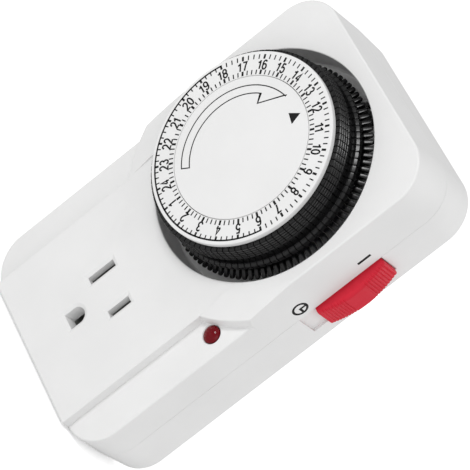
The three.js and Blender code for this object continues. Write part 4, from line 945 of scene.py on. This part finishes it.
def camera():
    az, el, roll = radians(AZIMUTH), radians(ELEVATION), radians(ROLL)
    back = Vector((sin(az) * cos(el), -cos(az) * cos(el), sin(el)))
    right = (-back).cross(Vector((0, 0, 1))).normalized()
    up = right.cross(-back)
    right, up = cos(roll) * right + sin(roll) * up, -sin(roll) * right + cos(roll) * up
    data = bpy.data.cameras.new("camera")
    data.sensor_width = SENSOR
    data.lens = FOCAL / PHOTO * SENSOR
    data.clip_start, data.clip_end = CLIP_NEAR, CLIP_FAR
    obj = bpy.data.objects.new("camera", data)
    place = Matrix((right, up, back)).transposed().to_4x4()
    place.translation = TARGET + back * DISTANCE
    obj.matrix_world = place
    SCENE.collection.objects.link(obj)
    SCENE.camera = obj


def white_to_camera(tree):
    """One for camera and clear rays, else zero."""
    path = tree.nodes.new("ShaderNodeLightPath")
    either = tree.nodes.new("ShaderNodeMath")
    either.operation = "MAXIMUM"
    tree.links.new(path.outputs["Is Camera Ray"], either.inputs[0])
    tree.links.new(path.outputs["Is Transmission Ray"], either.inputs[1])
    return either.outputs[0]


WORLD_LIGHT, FLOOR_GLOW, FLOOR_HALF, FLOOR_BELOW = 0.56, 0.5, 4000, 0.3
PAPER_DARK, PAPER_LIGHT, PAPER_ROUGH = (0.86, 0.86, 0.86), (0.89, 0.89, 0.89), 0.9
# Each soft box: place in metres, width, height and power in watts; all aim at the part's middle
LAMPS = (("key", (-0.16, -1.12, 0.65), 0.26, 0.26, 5.2), ("side", (1.0, -0.8, 0.25), 1.2, 1.0, 3.7),
         ("back", (0.45, 1.2, 0.52), 1.3, 1.05, 6.4))


def surroundings():
    """Soft studio light on a pale floor that is white to the camera."""
    world = bpy.data.worlds.new("studio")
    SCENE.world = world
    world.use_nodes = True
    tree = world.node_tree
    soft = tree.nodes["Background"]
    soft.inputs["Color"].default_value = (1, 1, 1, 1)
    soft.inputs["Strength"].default_value = WORLD_LIGHT
    plain = tree.nodes.new("ShaderNodeBackground")
    plain.inputs["Strength"].default_value = 1.0
    plain.inputs["Color"].default_value = (1, 1, 1, 1)
    mix = tree.nodes.new("ShaderNodeMixShader")
    tree.links.new(white_to_camera(tree), mix.inputs[0])
    tree.links.new(soft.outputs[0], mix.inputs[1])
    tree.links.new(plain.outputs[0], mix.inputs[2])
    tree.links.new(mix.outputs[0], tree.nodes["World Output"].inputs["Surface"])

    size, low = FLOOR_HALF, -HALF_HEIGHT - FLOOR_BELOW
    floor = sink("floor", [(-size, -size, low), (size, -size, low), (size, size, low), (-size, size, low)],
                 [[0, 1, 2, 3]])
    material, tree, bsdf = shader("floor_paper")
    tint(tree, span(tree, grain(tree, PAPER_SCALE), 0, 1), PAPER_DARK, PAPER_LIGHT, bsdf.inputs["Base Color"])
    bsdf.inputs["Roughness"].default_value = PAPER_ROUGH
    glow = tree.nodes.new("ShaderNodeEmission")
    glow.inputs["Color"].default_value = (1, 1, 1, 1)
    glow.inputs["Strength"].default_value = FLOOR_GLOW
    both = tree.nodes.new("ShaderNodeAddShader")
    pick = tree.nodes.new("ShaderNodeMixShader")
    tree.links.new(bsdf.outputs[0], both.inputs[0])
    tree.links.new(glow.outputs[0], both.inputs[1])
    tree.links.new(white_to_camera(tree), pick.inputs[0])
    tree.links.new(bsdf.outputs[0], pick.inputs[1])
    tree.links.new(both.outputs[0], pick.inputs[2])
    tree.links.new(pick.outputs[0], tree.nodes["Material Output"].inputs["Surface"])
    floor.data.materials.append(material)

    for name, where, width, height, power in LAMPS:
        data = bpy.data.lights.new(name, "AREA")
        data.shape, data.size, data.size_y, data.energy = "RECTANGLE", width, height, power
        obj = bpy.data.objects.new(name, data)
        obj.location = Vector(where)
        obj.rotation_euler = (-Vector(where)).to_track_quat("-Z", "Y").to_euler()
        SCENE.collection.objects.link(obj)


dress_cad()
camera()
surroundings()
front_shell()
rear_shell()
ring_and_disc()
ticks()
numbers()
disc_marks()
tabs()
button()
side_marks()
lens()
blades()
screws()

SCENE.view_settings.view_transform = "Standard"
